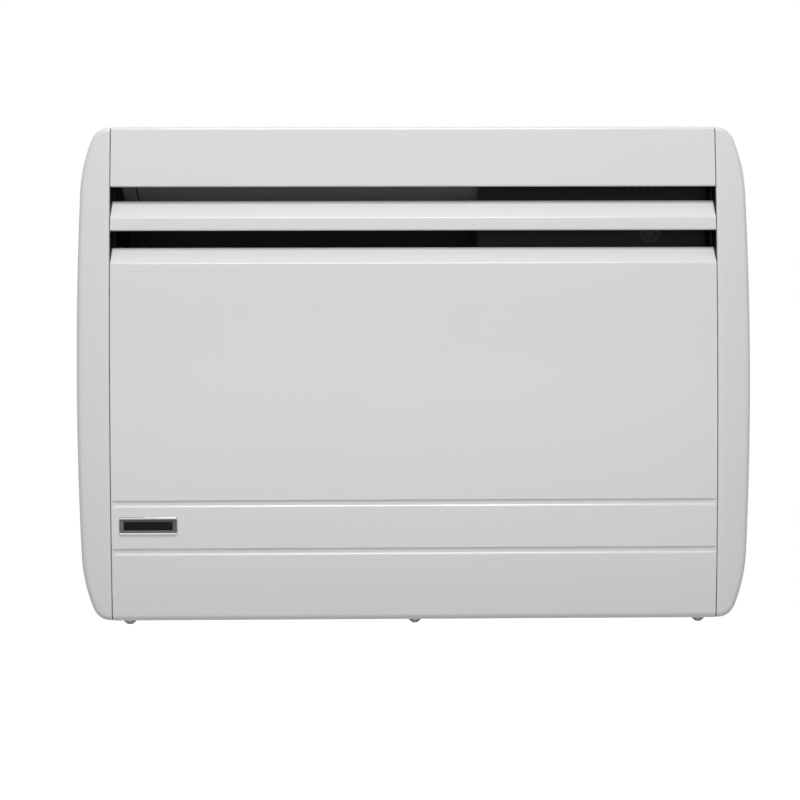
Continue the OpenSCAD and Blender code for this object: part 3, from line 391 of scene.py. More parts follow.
def sheet_across(name, path, across, dip=None, radius=0.35 * MM, thickness=sheet_t):
    """Bent sheet: a path in [y, h] carried across the heater, and its inner skin one thickness behind along
    the normals. The outer skin's edge is rounded at the panel's ends, and dip presses both skins back."""
    y, h = path[:, 0][None, :], path[:, 1][None, :]
    x = across[:, None] * np.ones_like(y)
    pressed = np.zeros_like(x) if dip is None else dip(h * np.ones_like(x), np.abs(x))
    outer = np.stack([x, y + pressed, h + floor_of_body + 0 * x], 2)
    normal = np.cross(np.gradient(outer, axis=0), np.gradient(outer, axis=1))
    normal /= np.linalg.norm(normal, axis=2, keepdims=True)
    past = np.clip(np.abs(across) - panel_half + radius, 0, None) / radius
    rounding = radius * (1 - np.sqrt(np.clip(1 - past**2, 0, 1)))
    return thick_sheet(name, outer + rounding[:, None, None] * normal, outer + thickness * normal)


def dress(obj, material, body, slot_name, *nodes):
    """Gives a piece its finish and its body, and hides the CAD nodes that it stands for, if any. The slot
    name is not used.
    """
    obj.data.materials.append(material)
    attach(obj, body)
    if nodes:
        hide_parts(*nodes)


groove_reach = groove_wall + max(groove_slopes) + 0.2 * MM
panel_path = bent(
    [[front_y(lip_fold) + slope_depth, lip_top - hem, 0], rolled_corner(lip_fold, lip_rise),
     [front_y(lip_fold), lip_fold, nose_radius]]
    + bowed(lip_fold - 6 * MM, upper_groove + 2 * groove_reach, 8 * MM)
    + bowed(upper_groove + groove_reach, upper_groove - groove_reach, groove_step)
    + bowed(upper_groove - 2 * groove_reach, lower_groove + 2 * groove_reach, 6 * MM)
    + bowed(lower_groove + groove_reach, lower_groove - groove_reach, groove_step)
    + bowed(lower_groove - 2 * groove_reach, 9 * MM, 6 * MM)
    + [[front_y(0), 0, bottom_bend], [front_y(0) + bottom_flange, 0, 0]])
fading = panel_half - np.linspace(0.6 * MM, groove_fade, 9)
lower_panel = sheet_across("lower_panel", panel_path, stations(fine=fading), groove_dip)
dress(lower_panel, white_coat, "heater", "white_enamel", "front_panel")

# Visor: the sheet that covers the top and comes down over the upper slot, where its edge is rolled back.
# Its top is cut away at the right for the controls. It is of the same coated steel as the panel.
fascia_low, fascia_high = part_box("control_fascia")
top_bend, cut_gap = 4 * MM, 0.3 * MM
visor_path = bent(
    [[-standoff, body_height, 0], [fascia_low.y - cut_gap, body_height, 0],
     [front_y(body_height), body_height, top_bend]]
    + bowed(body_height - 6 * MM, visor_edge + 3 * MM, 6 * MM)
    + [[front_y(visor_edge), visor_edge, edge_radius], [front_y(visor_edge) + edge_return, visor_edge, 0]])
cut_x = fascia_low.x - cut_gap
whole = stations()
for name, path, across in (
        ("visor", visor_path, np.append(whole[whole < cut_x - 1 * MM], cut_x)),
        ("visor_right_end", visor_path[1:], np.append(cut_x, whole[whole > cut_x + 1 * MM]))):
    dress(sheet_across(name, path, across), white_coat, "heater", "white_enamel", "top_panel")

# Louvre: a blade across the outlet, with a slope that turns the warm air down and a short upright face.
# Both its long edges are rolled back. It is of the same coated steel.
louvre_path = bent([
    [front_y(louvre_fold) + slope_depth, louvre_top - hem, 0], rolled_corner(louvre_fold, louvre_rise),
    [front_y(louvre_fold), louvre_fold, nose_radius], [front_y(louvre_edge), louvre_edge, edge_radius],
    [front_y(louvre_edge) + edge_return, louvre_edge, 0]])
dress(sheet_across("louvre", louvre_path, stations()), white_coat, "heater", "white_enamel", "outlet_louvre")

# Deflector: a sheet 1 mm thick that turns the rising air towards the slots. It is welded to the casing by a
# flange and slopes up to the front at 30 degrees. A slit frees the strip beside the side frame.
air_low, air_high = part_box("air_deflector")
guide_t, guide_bend, guide_flange = 1 * MM, 3 * MM, 8 * MM
guide_run = air_high.y - air_low.y - guide_t
guide_foot = air_low.z - floor_of_body + 14 * MM
guide_slope = math.tan(math.radians(30))
slit_x = -panel_half + 15 * MM
slit_end = slit_x + 1.2 * MM


def guide_path(start):
    """Path of the deflector from a [y, h] start up its slope and its front."""
    return bent(start + [[air_high.y - guide_run, guide_foot + guide_run * guide_slope, guide_bend],
                         [air_high.y - guide_run, air_high.z - floor_of_body, 0]])


def on_slope(back):
    """Start of a path on the deflector's slope, at a distance in front of the casing."""
    return [[air_high.y - back, guide_foot + back * guide_slope, 0]]


aluminised = aluminised_steel("aluminised_steel", "A7A5A8", 0.45, 0.5)
on_casing = [[air_high.y, guide_foot - guide_flange, 0], [air_high.y, guide_foot, guide_bend]]
for name, start, low, high in (
        ("deflector_strip", on_slope(5 * MM), air_low.x, slit_x),
        ("deflector_bridge", on_slope(guide_run - 8 * MM), slit_x, slit_end),
        ("deflector", on_casing, slit_end, air_high.x)):
    guide = sheet_across(name, guide_path(start), np.linspace(low, high, 5), thickness=guide_t)
    dress(guide, aluminised, "heater", "galvanised_steel", "air_deflector")

# End caps: shells moulded in white ABS, open towards the heater and the wall. Each outline is a chain of
# arcs, and the front edge is rounded. Inside are ribs, and posts for the screws from the side frame.
cap_angles = np.radians([90, 30, 20, 1.93])
cap_radii = np.array([16, 31, 155]) * MM
cap_flat, cap_drop = 1.7 * MM, 0.5 * MM
cap_edge, cap_wall, seam = 5 * MM, 2.2 * MM, 0.8 * MM
cap_back = -standoff - 2 * MM
cap_x = panel_half + seam
post_heights = np.array([0.14 * body_height, 0.5 * body_height, louvre_fold + 3.5 * MM])
post_y = -standoff - body_depth / 2
post_radius, post_hole = 4.5 * MM, 1.8 * MM
post_start = cap_x - 2.2 * MM
hole_end = post_start + 13 * MM
rib_heights = np.array([0.32, 0.68]) * body_height
rib_t = 1.6 * MM


def cap_outline():
    """Points [u, h] and outward normals of a cap's edge, from the seam at the top round to the seam at the
    foot: u grows outwards from the seam, and each arc starts where the last one ends."""
    top = body_height - cap_drop
    u, h = cap_flat, top
    rows = [np.array([[0, top, 0, 1], [cap_flat / 2, top, 0, 1], [cap_flat, top, 0, 1]])]
    drop = cap_drop + cap_radii @ (np.sin(cap_angles[:3]) - np.sin(cap_angles[1:]))
    bulge = (body_height / 2 - drop) / math.sin(cap_angles[3])
    arcs = zip(cap_angles, [*cap_angles[1:], 0], [*cap_radii, bulge], (18, 4, 10, 12))
    for start, end, r, steps in arcs:
        a = np.linspace(start, end, steps + 1)[1:]
        rows.append(np.stack([u + r * (np.cos(a) - math.cos(start)), h + r * (np.sin(a) - math.sin(start)),
                              np.cos(a), np.sin(a)], 1))
        u, h = rows[-1][-1, :2]
    upper = np.concatenate(rows)
    lower = upper[-2::-1] * [1, 1, 1, -1]
    lower[:, 1] = body_height - lower[:, 1]
    return np.concatenate([upper, lower])


def cap_skin(inset, seam_radius):
    """One skin of the cap as a grid: along the outline, and across from the seam over the front edge to the
    back. The front edge is a quarter round between the bowed front and the outline, and the seam's edge a
    small one."""
    u, h, nu, nh = cap_outline().T
    r = cap_edge - inset
    front_h = h - (inset + r) * nh
    level = np.clip(u - cap_edge, 0, None)
    rows = []
    for angle in np.radians([0, 27, 54, 90]):
        out = np.minimum(seam_radius * (1 - math.cos(angle)), level)
        lift = seam_radius * (1 - math.sin(angle)) * (level > 0)
        rows.append([out, front_y(front_h) + inset + lift, front_h])
    start = np.minimum(seam_radius, level)
    for t in (0.3, 0.7):
        out = start + t * np.clip(u - (inset + r) * nu - start, 0, None)
        rows.append([out, front_y(front_h) + inset, front_h])
    for a in np.radians(np.linspace(0, 90, 13)):
        e, back = inset + r * (1 - math.sin(a)), inset + r * (1 - math.cos(a))
        rows.append([np.clip(u - e * nu, 0, None), front_y(h - e * nh) + back, h - e * nh])
    side = rows[-1]
    rows += [[side[0], side[1] + t * (cap_back - side[1]), side[2]] for t in (0.25, 0.5, 0.75, 1.0)]
    grid = np.array(rows).transpose(2, 0, 1)
    return grid + [cap_x, 0, floor_of_body]


def turned(profile, steps=48):
    """Rings of a shape turned about Z: a profile of [radius, height] rows, taken at equal angles."""
    r, h = np.array(profile, float).T[:, :, None]
    angle = 2 * math.pi * np.arange(steps) / steps
    return np.stack([r * np.cos(angle), r * np.sin(angle), h + 0 * angle], 2)


def loft(rings, hollow=False):
    """Points and faces of a closed skin over rings of equal size: quads between neighbours, and a flat face
    on each end, or for a hollow shape quads from the last ring back to the first. The faces point outwards
    where the rings run anticlockwise, seen from the end that they rise to."""
    count, n = rings.shape[:2]
    k, i = np.meshgrid(np.arange(count - 1 + hollow), np.arange(n), indexing="ij")
    a, b = k * n + i, k * n + (i + 1) % n
    faces = (np.stack([a, b, b + n, a + n], -1).reshape(-1, 4) % (count * n)).tolist()
    if not hollow:
        faces += [list(range(n))[::-1], list(range((count - 1) * n, count * n))]
    return rings.reshape(-1, 3), faces


def joined(shapes):
    """Points and faces of several shapes as one mesh."""
    starts = np.cumsum([0] + [len(points) for points, _ in shapes])
    faces = [[v + int(start) for v in face] for start, (_, some) in zip(starts, shapes) for face in some]
    return np.concatenate([points for points, _ in shapes]), faces


def flat_plate(outline, low, high, edge):
    """Rings of a plate between two heights over an anticlockwise outline. Each edge is eased by drawing the
    first and last ring towards the middle."""
    middle = outline.mean(0)
    drawn = outline + edge * (middle - outline) / np.linalg.norm(middle - outline, axis=1, keepdims=True)
    layers = [(drawn, low), (outline, low + edge), (outline, high - edge), (drawn, high)]
    return np.array([np.column_stack([points, np.full(len(points), h)]) for points, h in layers])


def cap_inside():
    """The right cap's posts and ribs. A post is turned about X with a blind hole for its screw, and thickens
    towards the cap's wall, which it runs into. A rib is a flat plate that follows the wall."""
    u, h = cap_outline()[::-1, :2].T
    shapes = []
    for height in post_heights:
        end = cap_x + np.interp(height, h, u) - cap_wall / 2
        rings = turned([[0.05 * MM, hole_end], [post_hole, hole_end], [post_hole, post_start],
                        [post_radius - 0.3 * MM, post_start], [post_radius, post_start + 0.3 * MM],
                        [post_radius + 0.3 * MM, end]], 32)[..., [2, 0, 1]]
        shapes.append(loft(rings + [0, post_y, height + floor_of_body]))
    for height in rib_heights:
        wall = cap_x + np.interp(height, h, u) - cap_wall / 2
        front = front_y(height) + cap_wall / 2
        outline = bent([
            [cap_x + seam, (front + cap_back) / 2, 0], [cap_x + seam, front, 0], [wall, front, cap_edge],
            [wall, cap_back - 12 * MM, 2 * MM], [wall - 6 * MM, cap_back - 22 * MM, 2 * MM],
            [cap_x + seam, cap_back - 30 * MM, 0]], 10)
        middle = height + floor_of_body
        shapes.append(loft(flat_plate(outline, middle - rib_t / 2, middle + rib_t / 2, 0.3 * MM)))
    return joined(shapes)


satin_abs = moulded("satin_white_abs", "D8D6D8", "D6D4D6", 0.36, grain_mm=0.9, grain=0.03)
for side, node in ((1, "right_end_cap"), (-1, "left_end_cap")):
    turned_round = np.array([side, 1, 1])
    skins = [cap_skin(0, 0.5 * MM) * turned_round, cap_skin(cap_wall, 0.01 * MM) * turned_round]
    if side > 0:
        skins = [skin[:, ::-1] for skin in skins]
    shell = thick_sheet(node.replace("end_cap", "cap_shell"), *skins, smooth_angle=50)
    dress(shell, satin_abs, "heater", "cap_plastic", node)
    points, faces = cap_inside()
    faces = faces if side > 0 else [face[::-1] for face in faces]
    inside = mesh_of(node.replace("end_cap", "cap_posts"), points * turned_round, faces)
    dress(inside, satin_abs, "heater", "cap_plastic", node)

# Bottom screws: three flanged screws with pan heads and cross recesses that hold the lower panel's foot.
# They are cold headed in steel and zinc plated, and they stand head down below the lower edge. Their zinc is
# drawn darker than the other zinc, as painted shade and dark reflection under the panel.
screws_low, screws_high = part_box("bottom_screws")
screw_y = (screws_low.y + screws_high.y) / 2
flange_radius = (screws_high.y - screws_low.y) / 2
screw_xs = (screws_low.x + flange_radius, 0, screws_high.x - flange_radius)
head_height, dome_rings = 4.4 * MM, 16
cross_arm, cross_reach, cross_depth = 0.5 * MM, 2.1 * MM, 1.7 * MM


def flanged_screw():
    """A screw about its own axis with its head down: a turned profile, with the cross sunk into the domed
    face. The cross is as deep as it is far inside both the reach and the nearer arm."""
    dome = [[r * MM, -head_height + 0.05 * MM * r**2] for r in np.linspace(0.05, 2.6, dome_rings)]
    rings = turned(dome + [
        [3.3 * MM, -3.8 * MM], [3.55 * MM, -3.3 * MM], [3.6 * MM, -2.6 * MM], [3.75 * MM, -2.4 * MM],
        [5.1 * MM, -2.3 * MM], [flange_radius, -1.9 * MM], [flange_radius, 0], [2.4 * MM, 0],
        [2.4 * MM, 7.5 * MM], [1.6 * MM, 9 * MM]], 64)
    x, y = np.abs(rings[:dome_rings, :, :2]).transpose(2, 0, 1)
    into_arm = (cross_arm - np.minimum(x, y)) / (0.2 * MM)
    into_reach = (cross_reach - np.hypot(x, y)) / (0.5 * MM)
    rings[:dome_rings, :, 2] += cross_depth * np.clip(np.minimum(into_arm, into_reach), 0, 1)
    return rings


screws = joined([loft(flanged_screw() + [x, screw_y, floor_of_body]) for x in screw_xs])
# Darker zinc: painted shade and dark reflection under the panel's foot.
shade_darkened_zinc = bright_metal("shade_darkened_zinc_plate", "72706D", "5E5C5A", 0.34, patch_mm=2)
dress(mesh_of("bottom_flanged_screws", *screws), shade_darkened_zinc, "heater", "zinc_plate", "bottom_screws")

# Badge: a bright plated frame with rounded bevels, round a plain field of dark lacquer. The inner bevel is
# the same chrome in a darker copy, which is painted dark reflection. It is moulded in ABS, held by an
# adhesive pad, and leans with the bow of the panel.
badge_low, badge_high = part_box("badge_frame")
badge_size = np.array([badge_high.x - badge_low.x, 16.2 * MM])
badge_mid = (badge_low.x + badge_high.x) / 2
badge_height, badge_corner = 86.8 * MM, 1.8 * MM
badge_lean = math.asin((crest - badge_height) / bow_radius)
end_mm, bevel_mm, rim_mm = 0.5, 1.9, 4.2


def rounded_loop(low, high, radius, steps=6):
    """Points round a rectangle, anticlockwise: a quarter circle about the centre of each corner's arc."""
    low, high = np.array(low), np.array(high)
    angle = np.radians(np.concatenate([np.linspace(0, 90, steps + 1) + 90 * k for k in range(4)]))
    side = np.repeat([[1, 1], [-1, 1], [-1, -1], [1, -1]], steps + 1, axis=0)
    corner = (low + high) / 2 + side * ((high - low) / 2 - radius)
    return corner + radius * np.stack([np.cos(angle), np.sin(angle)], 1)


def on_badge(steps):
    """Rings of rounded rectangles, laid on the leaning panel, from steps in millimetres: inset at the ends,
    inset above and below, and height."""
    rings = []
    for end_inset, inset, rise in np.array(steps) * MM:
        inner = badge_size / 2 - [end_inset, inset]
        loop = rounded_loop(-inner, inner, max(0.4 * MM, badge_corner - 0.4 * inset))
        rings.append(np.column_stack([
            loop[:, 0] + badge_mid,
            front_y(badge_height) - rise * math.cos(badge_lean) - loop[:, 1] * math.sin(badge_lean),
            floor_of_body + badge_height - rise * math.sin(badge_lean) + loop[:, 1] * math.cos(badge_lean)]))
    return np.array(rings)


def badge_lacquer(flake_mm=0.4):
    """Lacquer on plated ABS: nearly black, with a faint flake in it. It mirrors less than bare plastic."""
    material, tree, shader, place = new_material("dark_lacquer")
    flake = add_node(tree, "TexNoise", {"Vector": place, "Scale": 1 / (flake_mm * MM)})
    tone = add_node(tree, "Mix", {"Factor": flake, "A": "131214", "B": "1C1B1D"}, data_type="RGBA")
    fill_sockets(tree, shader, {"Base Color": tone, "Roughness": 0.3, "Specular IOR Level": 0.04})
    return material


bright_frame = on_badge([
    (0.1, 0.1, 0.1), (0, 0, 0.2), (0, 0, 0.6), (0.1, 0.15, 0.95), (0.2, 0.5, 1.2), (0.3, 0.9, 1.3),
    (0.4, 1.3, 1.25), (end_mm, bevel_mm, 1.1), (end_mm, bevel_mm, 0.1)])
bright_chrome = bright_metal("bright_chrome_plate", "A8A9AB", "9FA0A3", 0.16, patch_mm=12)
dress(mesh_of("badge_bright_frame", *loft(bright_frame, hollow=True), smooth_angle=60), bright_chrome,
      "heater", "bright_chrome", "badge_frame")
# Inner bevel: a darker copy of the chrome, painted dark reflection and shade.
painted_dark_bevel = on_badge([
    (end_mm, bevel_mm, 0.1), (end_mm, bevel_mm, 1.05), (end_mm + 0.2, bevel_mm + 0.2, 1.02),
    (rim_mm, rim_mm, 0.8), (rim_mm, rim_mm, 0.1)])
painted_dark_chrome = bright_metal("painted_dark_chrome_plate", "4A4A4C", "3C3C3E", 0.3, patch_mm=12)
dress(mesh_of("badge_painted_dark_bevel", *loft(painted_dark_bevel, hollow=True)), painted_dark_chrome,
      "heater", "bright_chrome", "badge_frame")
field = on_badge([
    (rim_mm, rim_mm, 0.1), (rim_mm, rim_mm, 0.7), (rim_mm + 0.15, rim_mm + 0.15, 0.75)])
dress(mesh_of("badge_dark_field", *loft(field)), badge_lacquer(), "heater", "badge_black", "badge_plate")

# Control fascia: a moulding in white ABS, clipped into the top at the right. Its recess keeps the controls
# below the edge, and the floor is pierced for the shaft, the rocker, the slider and the lamp.
fascia_t = 2.5 * MM
recess_low = np.array([fascia_low.x + 12 * MM, fascia_low.y + 8 * MM])
recess_high = np.array([fascia_high.x - 11.7 * MM, fascia_high.y - 12 * MM])
recess_corner, recess_depth = 4 * MM, 10 * MM
recess_floor = floor_of_body + body_height - recess_depth
control_y = (recess_low[1] + recess_high[1]) / 2
knob_x, rocker_x, lamp_x, mode_x = panel_half - np.array([52, 100, 120, 140]) * MM
shaft_hole, lamp_hole = 3.8 * MM, 2.55 * MM
rocker_hole = np.array([12.05, 7.55]) * MM
slider_hole = np.array([8.8, 2.3]) * MM


def around(low, high, radius, grow, h):
    """Ring round a rectangle that is grown by the given amount, at a height."""
    loop = rounded_loop(np.array(low) - grow, np.array(high) + grow, max(radius + grow, 0.2 * MM))
    return np.column_stack([loop, np.full(len(loop), h)])


def pierced(points, outline, holes, upwards):
    """Triangles of a flat face inside an outline and outside its holes, all given as numbers of points."""
    chains = [outline, *holes]
    split = tessellate_polygon([[Vector(points[i]) for i in chain] for chain in chains])
    faces = np.concatenate(chains)[np.array(split)]
    a, b, c = (points[faces[:, k]] for k in range(3))
    wrong = (np.cross(b - a, c - a)[:, 2] > 0) != upwards
    faces[wrong] = faces[wrong][:, ::-1]
    return faces.tolist()


def fascia_shape():
    """The fascia as one closed skin. Its rings rise round the outside of the pocket, run under and over the
    rim, go down the recess and end round the floor. The floor and its underside are flat faces joined by
    the holes' walls."""
    top = floor_of_body + body_height
    outer_low, outer_high = np.array(fascia_low[:2]), np.array(fascia_high[:2])
    under = recess_floor - fascia_t
    rings = [around(recess_low, recess_high, recess_corner, grow, h) for grow, h in (
        (1.8 * MM, under), (2.1 * MM, under + 0.6 * MM), (2.2 * MM, top - fascia_t))]
    rings += [around(outer_low, outer_high, 1 * MM, grow, top - down) for grow, down in (
        (0, fascia_t), (0, 0.4 * MM), (-0.12 * MM, 0.12 * MM), (-0.4 * MM, 0))]
    rings += [around(recess_low, recess_high, recess_corner, grow, top - down) for grow, down in np.array([
        (1.2, 0), (0.6, 0.16), (0.16, 0.6), (0, 1.2), (-0.3, 8), (-0.45, 8.8), (-0.9, 9.55), (-1.6, 9.9),
        (-2.3, 10)]) * MM]
    holes = [around([x - w, control_y - d], [x + w, control_y + d], r, 0, h)
             for h in (recess_floor, under) for x, (w, d), r in (
                 (rocker_x, rocker_hole, 0.5 * MM), (mode_x, slider_hole, 0.6 * MM),
                 (knob_x, (shaft_hole, shaft_hole), shaft_hole), (lamp_x, (lamp_hole, lamp_hole), lamp_hole))]
    points = np.concatenate(rings + holes)
    number = np.arange(len(points)).reshape(-1, len(rings[0]))
    skin, in_floor, in_underside = np.split(number, [len(rings), len(rings) + len(holes) // 2])
    faces = loft(np.array(rings))[1][:-2]
    faces += pierced(points, skin[-1], list(in_floor), True)
    faces += pierced(points, skin[0], list(in_underside), False)
    for a, b in zip(in_floor, in_underside):
        faces += np.stack([a, np.roll(a, -1), np.roll(b, -1), b], 1).tolist()
    return points, faces


fascia_abs = moulded("fine_grained_white_abs", "D2D0D2", "D0CED0", 0.45, grain_mm=0.7, grain=0.08)
dress(mesh_of("recessed_fascia", *fascia_shape(), smooth_angle=35), fascia_abs,
      "heater", "cap_plastic", "control_fascia")

# Vent strip: black sponge rubber 1.2 mm thick, cut to shape and glued behind the shield's five vents. It is
# a dark sheet put there as painted shade, so that the vents read dark.
strip_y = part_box("control_cover")[0].y + 1.05 * MM
strip_mid, strip_half, strip_t = panel_half - 58.7 * MM, 20 * MM, 1.2 * MM
strip_low, strip_high = 391 * MM, 405 * MM
strip_loop = rounded_loop([strip_mid - strip_half, strip_low], [strip_mid + strip_half, strip_high], 2 * MM)
strip = flat_plate(strip_loop, 0, strip_t, 0.2 * MM)
strip = np.stack([strip[..., 0], strip_y + strip_t - strip[..., 2], strip[..., 1] + floor_of_body], -1)
# A dark sheet behind the vents: painted shade.
dress(mesh_of("vent_strip", *loft(strip)), black_rubber, "heater", "black_rubber")

# Scale: eleven marks round the knob that grow from cool to warm, pad printed on the fascia in grey ink. The
# knob's pointer and the signs on the rocker are printed too.
scale_radius, scale_step = 18.8 * MM, math.radians(27)
print_t = 0.12 * MM


def radial_bar(angle, start, end, width, low):
    """Printed bar that points away from the knob's axis at an angle, as thin as a film."""
    corners = np.array([[start, -width / 2], [end, -width / 2], [end, width / 2], [start, width / 2]])
    turn = np.array([[math.cos(angle), math.sin(angle)], [-math.sin(angle), math.cos(angle)]])
    return loft(flat_plate(corners @ turn + [knob_x, control_y], low, low + print_t, print_t / 4))


grey_ink = moulded("grey_printing_ink", "4A4B4D", "444547", 0.5, grain_mm=0.5, grain=0.05)
marks = []
for k in range(-5, 6):
    mark_end = scale_radius + (1.2 + 0.16 * (k + 5)) * MM
    marks.append(radial_bar(k * scale_step, scale_radius, mark_end, 0.8 * MM, recess_floor))
dress(mesh_of("scale_marks", *joined(marks)), grey_ink, "heater", "cap_plastic", "control_fascia")

# Thermostat knob: moulded in white ABS, with a skirt and a grip of 24 flutes, and pushed onto the shaft.
# Its top is slightly dished inside a rounded rim.
knob_low, knob_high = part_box("thermostat_knob")
knob_bottom = recess_floor + 0.6 * MM
knob_top = knob_high.z
skirt_radius = (knob_high.x - knob_low.x) / 2
grip_radius = skirt_radius - 3 * MM
knob_shaft = 3 * MM
flutes, flute_depth = 24, 0.7 * MM


def fluted_knob():
    """Rings of the knob: a turned profile, with the grip drawn in by (half plus half cos 24 a) squared at
    angle a, which fades out at the grip's foot and its rim."""
    profile = bent([
        [0.05 * MM, knob_low.z, 0], [knob_shaft, knob_low.z, 0.4 * MM], [knob_shaft, knob_bottom, 0],
        [skirt_radius - 0.6 * MM, knob_bottom, 0], [skirt_radius, knob_bottom + 0.5 * MM, 0],
        [skirt_radius, knob_bottom + 2.4 * MM, 0.9 * MM], [grip_radius, knob_bottom + 2.9 * MM, 0.6 * MM],
        [grip_radius, knob_bottom + 5 * MM, 0], [grip_radius - 0.1 * MM, knob_bottom + 8 * MM, 0],
        [grip_radius - 0.2 * MM, knob_top, 1.2 * MM], [grip_radius - 2.6 * MM, knob_top, 0.8 * MM],
        [grip_radius - 4 * MM, knob_top - 0.5 * MM, 0.8 * MM], [0.05 * MM, knob_top - 0.6 * MM, 0]], 9)
    rings = turned(profile, flutes * 8)
    flute = 2 * math.pi * np.arange(flutes * 8) / 8
    r, h = profile[:, :1], profile[:, 1:]
    foot = np.clip((h - knob_bottom - 2.9 * MM) / (1 * MM), 0, 1)
    rim = np.clip((knob_top - 0.1 * MM - h) / (1.2 * MM), 0, 1)
    depth = flute_depth * foot * rim * (r > grip_radius - 1 * MM) * (0.5 + 0.5 * np.cos(flute)) ** 2
    rings[..., :2] *= 1 - (depth / np.maximum(r, 1 * MM))[..., None]
    return rings + [knob_x, control_y, 0]


knob_abs = moulded("satin_white_knob_abs", "DCDBDC", "D9D8D9", 0.35, grain_mm=0.8, grain=0.03)
dress(mesh_of("fluted_knob", *loft(fluted_knob()), smooth_angle=35), knob_abs,
      "knob", "knob_plastic", "thermostat_knob")
pointer = radial_bar(0, 5.5 * MM, grip_radius - 4.2 * MM, 1.3 * MM, knob_top - 0.58 * MM)
dress(mesh_of("knob_pointer", *pointer), grey_ink, "knob", "knob_plastic", "thermostat_knob")

# Power rocker: moulded in gloss red polycarbonate and snapped on two pins in its black housing. The slider
# and the two switch bodies are black ABS with a fine grain, and the pilot lamp has an amber lens.
rocker_axis = recess_floor - 0.6 * MM
rocker_tilt = math.radians(7)
rocker_half, rocker_edge = 5.6 * MM, 0.5 * MM
pin_half, pin_radius, pin_edge = 7 * MM, 1.2 * MM, 0.2 * MM
sign_x, ink_low, ink_high = 6.4 * MM, -0.1 * MM, 0.06 * MM


def on_rocker(points):
    """Points about the rocker's axis, tilted as it stands at rest and moved to its place."""
    x, y, z = np.moveaxis(points, -1, 0)
    c, s = math.cos(rocker_tilt), math.sin(rocker_tilt)
    return np.stack([x * c + z * s + rocker_x, y + control_y, z * c - x * s + rocker_axis], -1)


def rocker_shape():
    """The rocker's section, rounded at its corners, carried across it. Its two end faces are drawn in by a
    quarter round. The section runs clockwise seen from the front, so that the faces point outwards."""
    section = bent(np.array([
        [0, -4.4, 0], [-3.6, -4.4, 0.5], [-9.2, 0, 0.4], [-9.4, 3.6, 0.7], [-4.6, 2.6, 8], [0, 2.2, 0],
        [4.6, 2.6, 8], [9.4, 3.6, 0.7], [9.2, 0, 0.4], [3.6, -4.4, 0.5], [0.4, -4.4, 0]]) * MM, 12)
    middle = section.mean(0)
    away = (section - middle) / np.linalg.norm(section - middle, axis=1, keepdims=True)
    rings = []
    for side, angles in ((-1, [0, 30, 60, 90]), (1, [90, 60, 30, 0])):
        for a in np.radians(angles):
            eased = section - rocker_edge * (1 - math.sin(a)) * away
            y = side * (rocker_half - rocker_edge * (1 - math.cos(a)))
            rings.append(np.column_stack([eased[:, 0], np.full(len(section), y), eased[:, 1]]))
    return loft(on_rocker(np.array(rings)))


def rocker_top(x):
    """Height of the rocker's hollow top above its axis."""
    return np.interp(np.abs(x), np.array([0, 4.6, 9.4]) * MM, np.array([2.28, 2.6, 3.6]) * MM)


def rocker_sign(outline, x0):
    """Printed sign on the rocker's top: rings of [x, y] loops that follow the slope."""
    rings = []
    for loop, rise in outline:
        x = loop[:, 0] + x0
        rings.append(np.column_stack([x, loop[:, 1], rocker_top(x) + rise]))
    return loft(on_rocker(np.array(rings)), hollow=len(outline) > 2)


pin = turned([[pin_radius - pin_edge, -pin_half], [pin_radius, pin_edge - pin_half],
              [pin_radius, pin_half - pin_edge], [pin_radius - pin_edge, pin_half]], 24)[..., [1, 2, 0]]
red_polycarbonate = moulded("gloss_red_polycarbonate", "A8231C", "A01F19", 0.2, grain_mm=1.5, grain=0.01)
dress(mesh_of("rocker_paddle", *joined([rocker_shape(), loft(on_rocker(pin))]), smooth_angle=35),
      red_polycarbonate, "rocker", "red_plastic", "power_rocker")
bar = rounded_loop([-0.3 * MM, -1.7 * MM], [0.3 * MM, 1.7 * MM], 0.2 * MM)
on_sign = rocker_sign([(bar, ink_low), (bar, ink_high)], -sign_x)
circle = rounded_loop([-1, -1], [1, 1], 1, steps=8)
inner, outer = circle * 1.25 * MM, circle * 1.8 * MM
off_sign = rocker_sign([(inner, ink_low), (outer, ink_low), (outer, ink_high), (inner, ink_high)], sign_x)
white_ink = moulded("white_printing_ink", "E4E4E2", "DEDEDC", 0.5, grain_mm=0.5, grain=0.05)
dress(mesh_of("rocker_signs", *joined([on_sign, off_sign])), white_ink,
      "rocker", "red_plastic", "power_rocker")

black_abs = moulded("grained_black_abs", "1D1D1D", "212121", 0.5, grain_mm=0.6, grain=0.25)
finish_nodes(black_abs, "rocker_housing", "mode_switch", "mode_slider")


def amber_lens(flow_mm=2):
    """Clear acrylic dyed amber: gloss, lit through, a little darker in the flow lines of the mould."""
    material, tree, shader, place = new_material("amber_acrylic")
    flow = add_node(tree, "TexNoise", {"Vector": place, "Scale": 1 / (flow_mm * MM), "Detail": 1.0})
    tone = add_node(tree, "Mix", {"Factor": flow, "A": "E08A2C", "B": "C8701C"}, data_type="RGBA")
    fill_sockets(tree, shader, {"Base Color": tone, "Roughness": 0.1, "Transmission Weight": 0.35,
                                "IOR": 1.49})
    return material


finish_nodes(amber_lens(), "pilot_lamp")

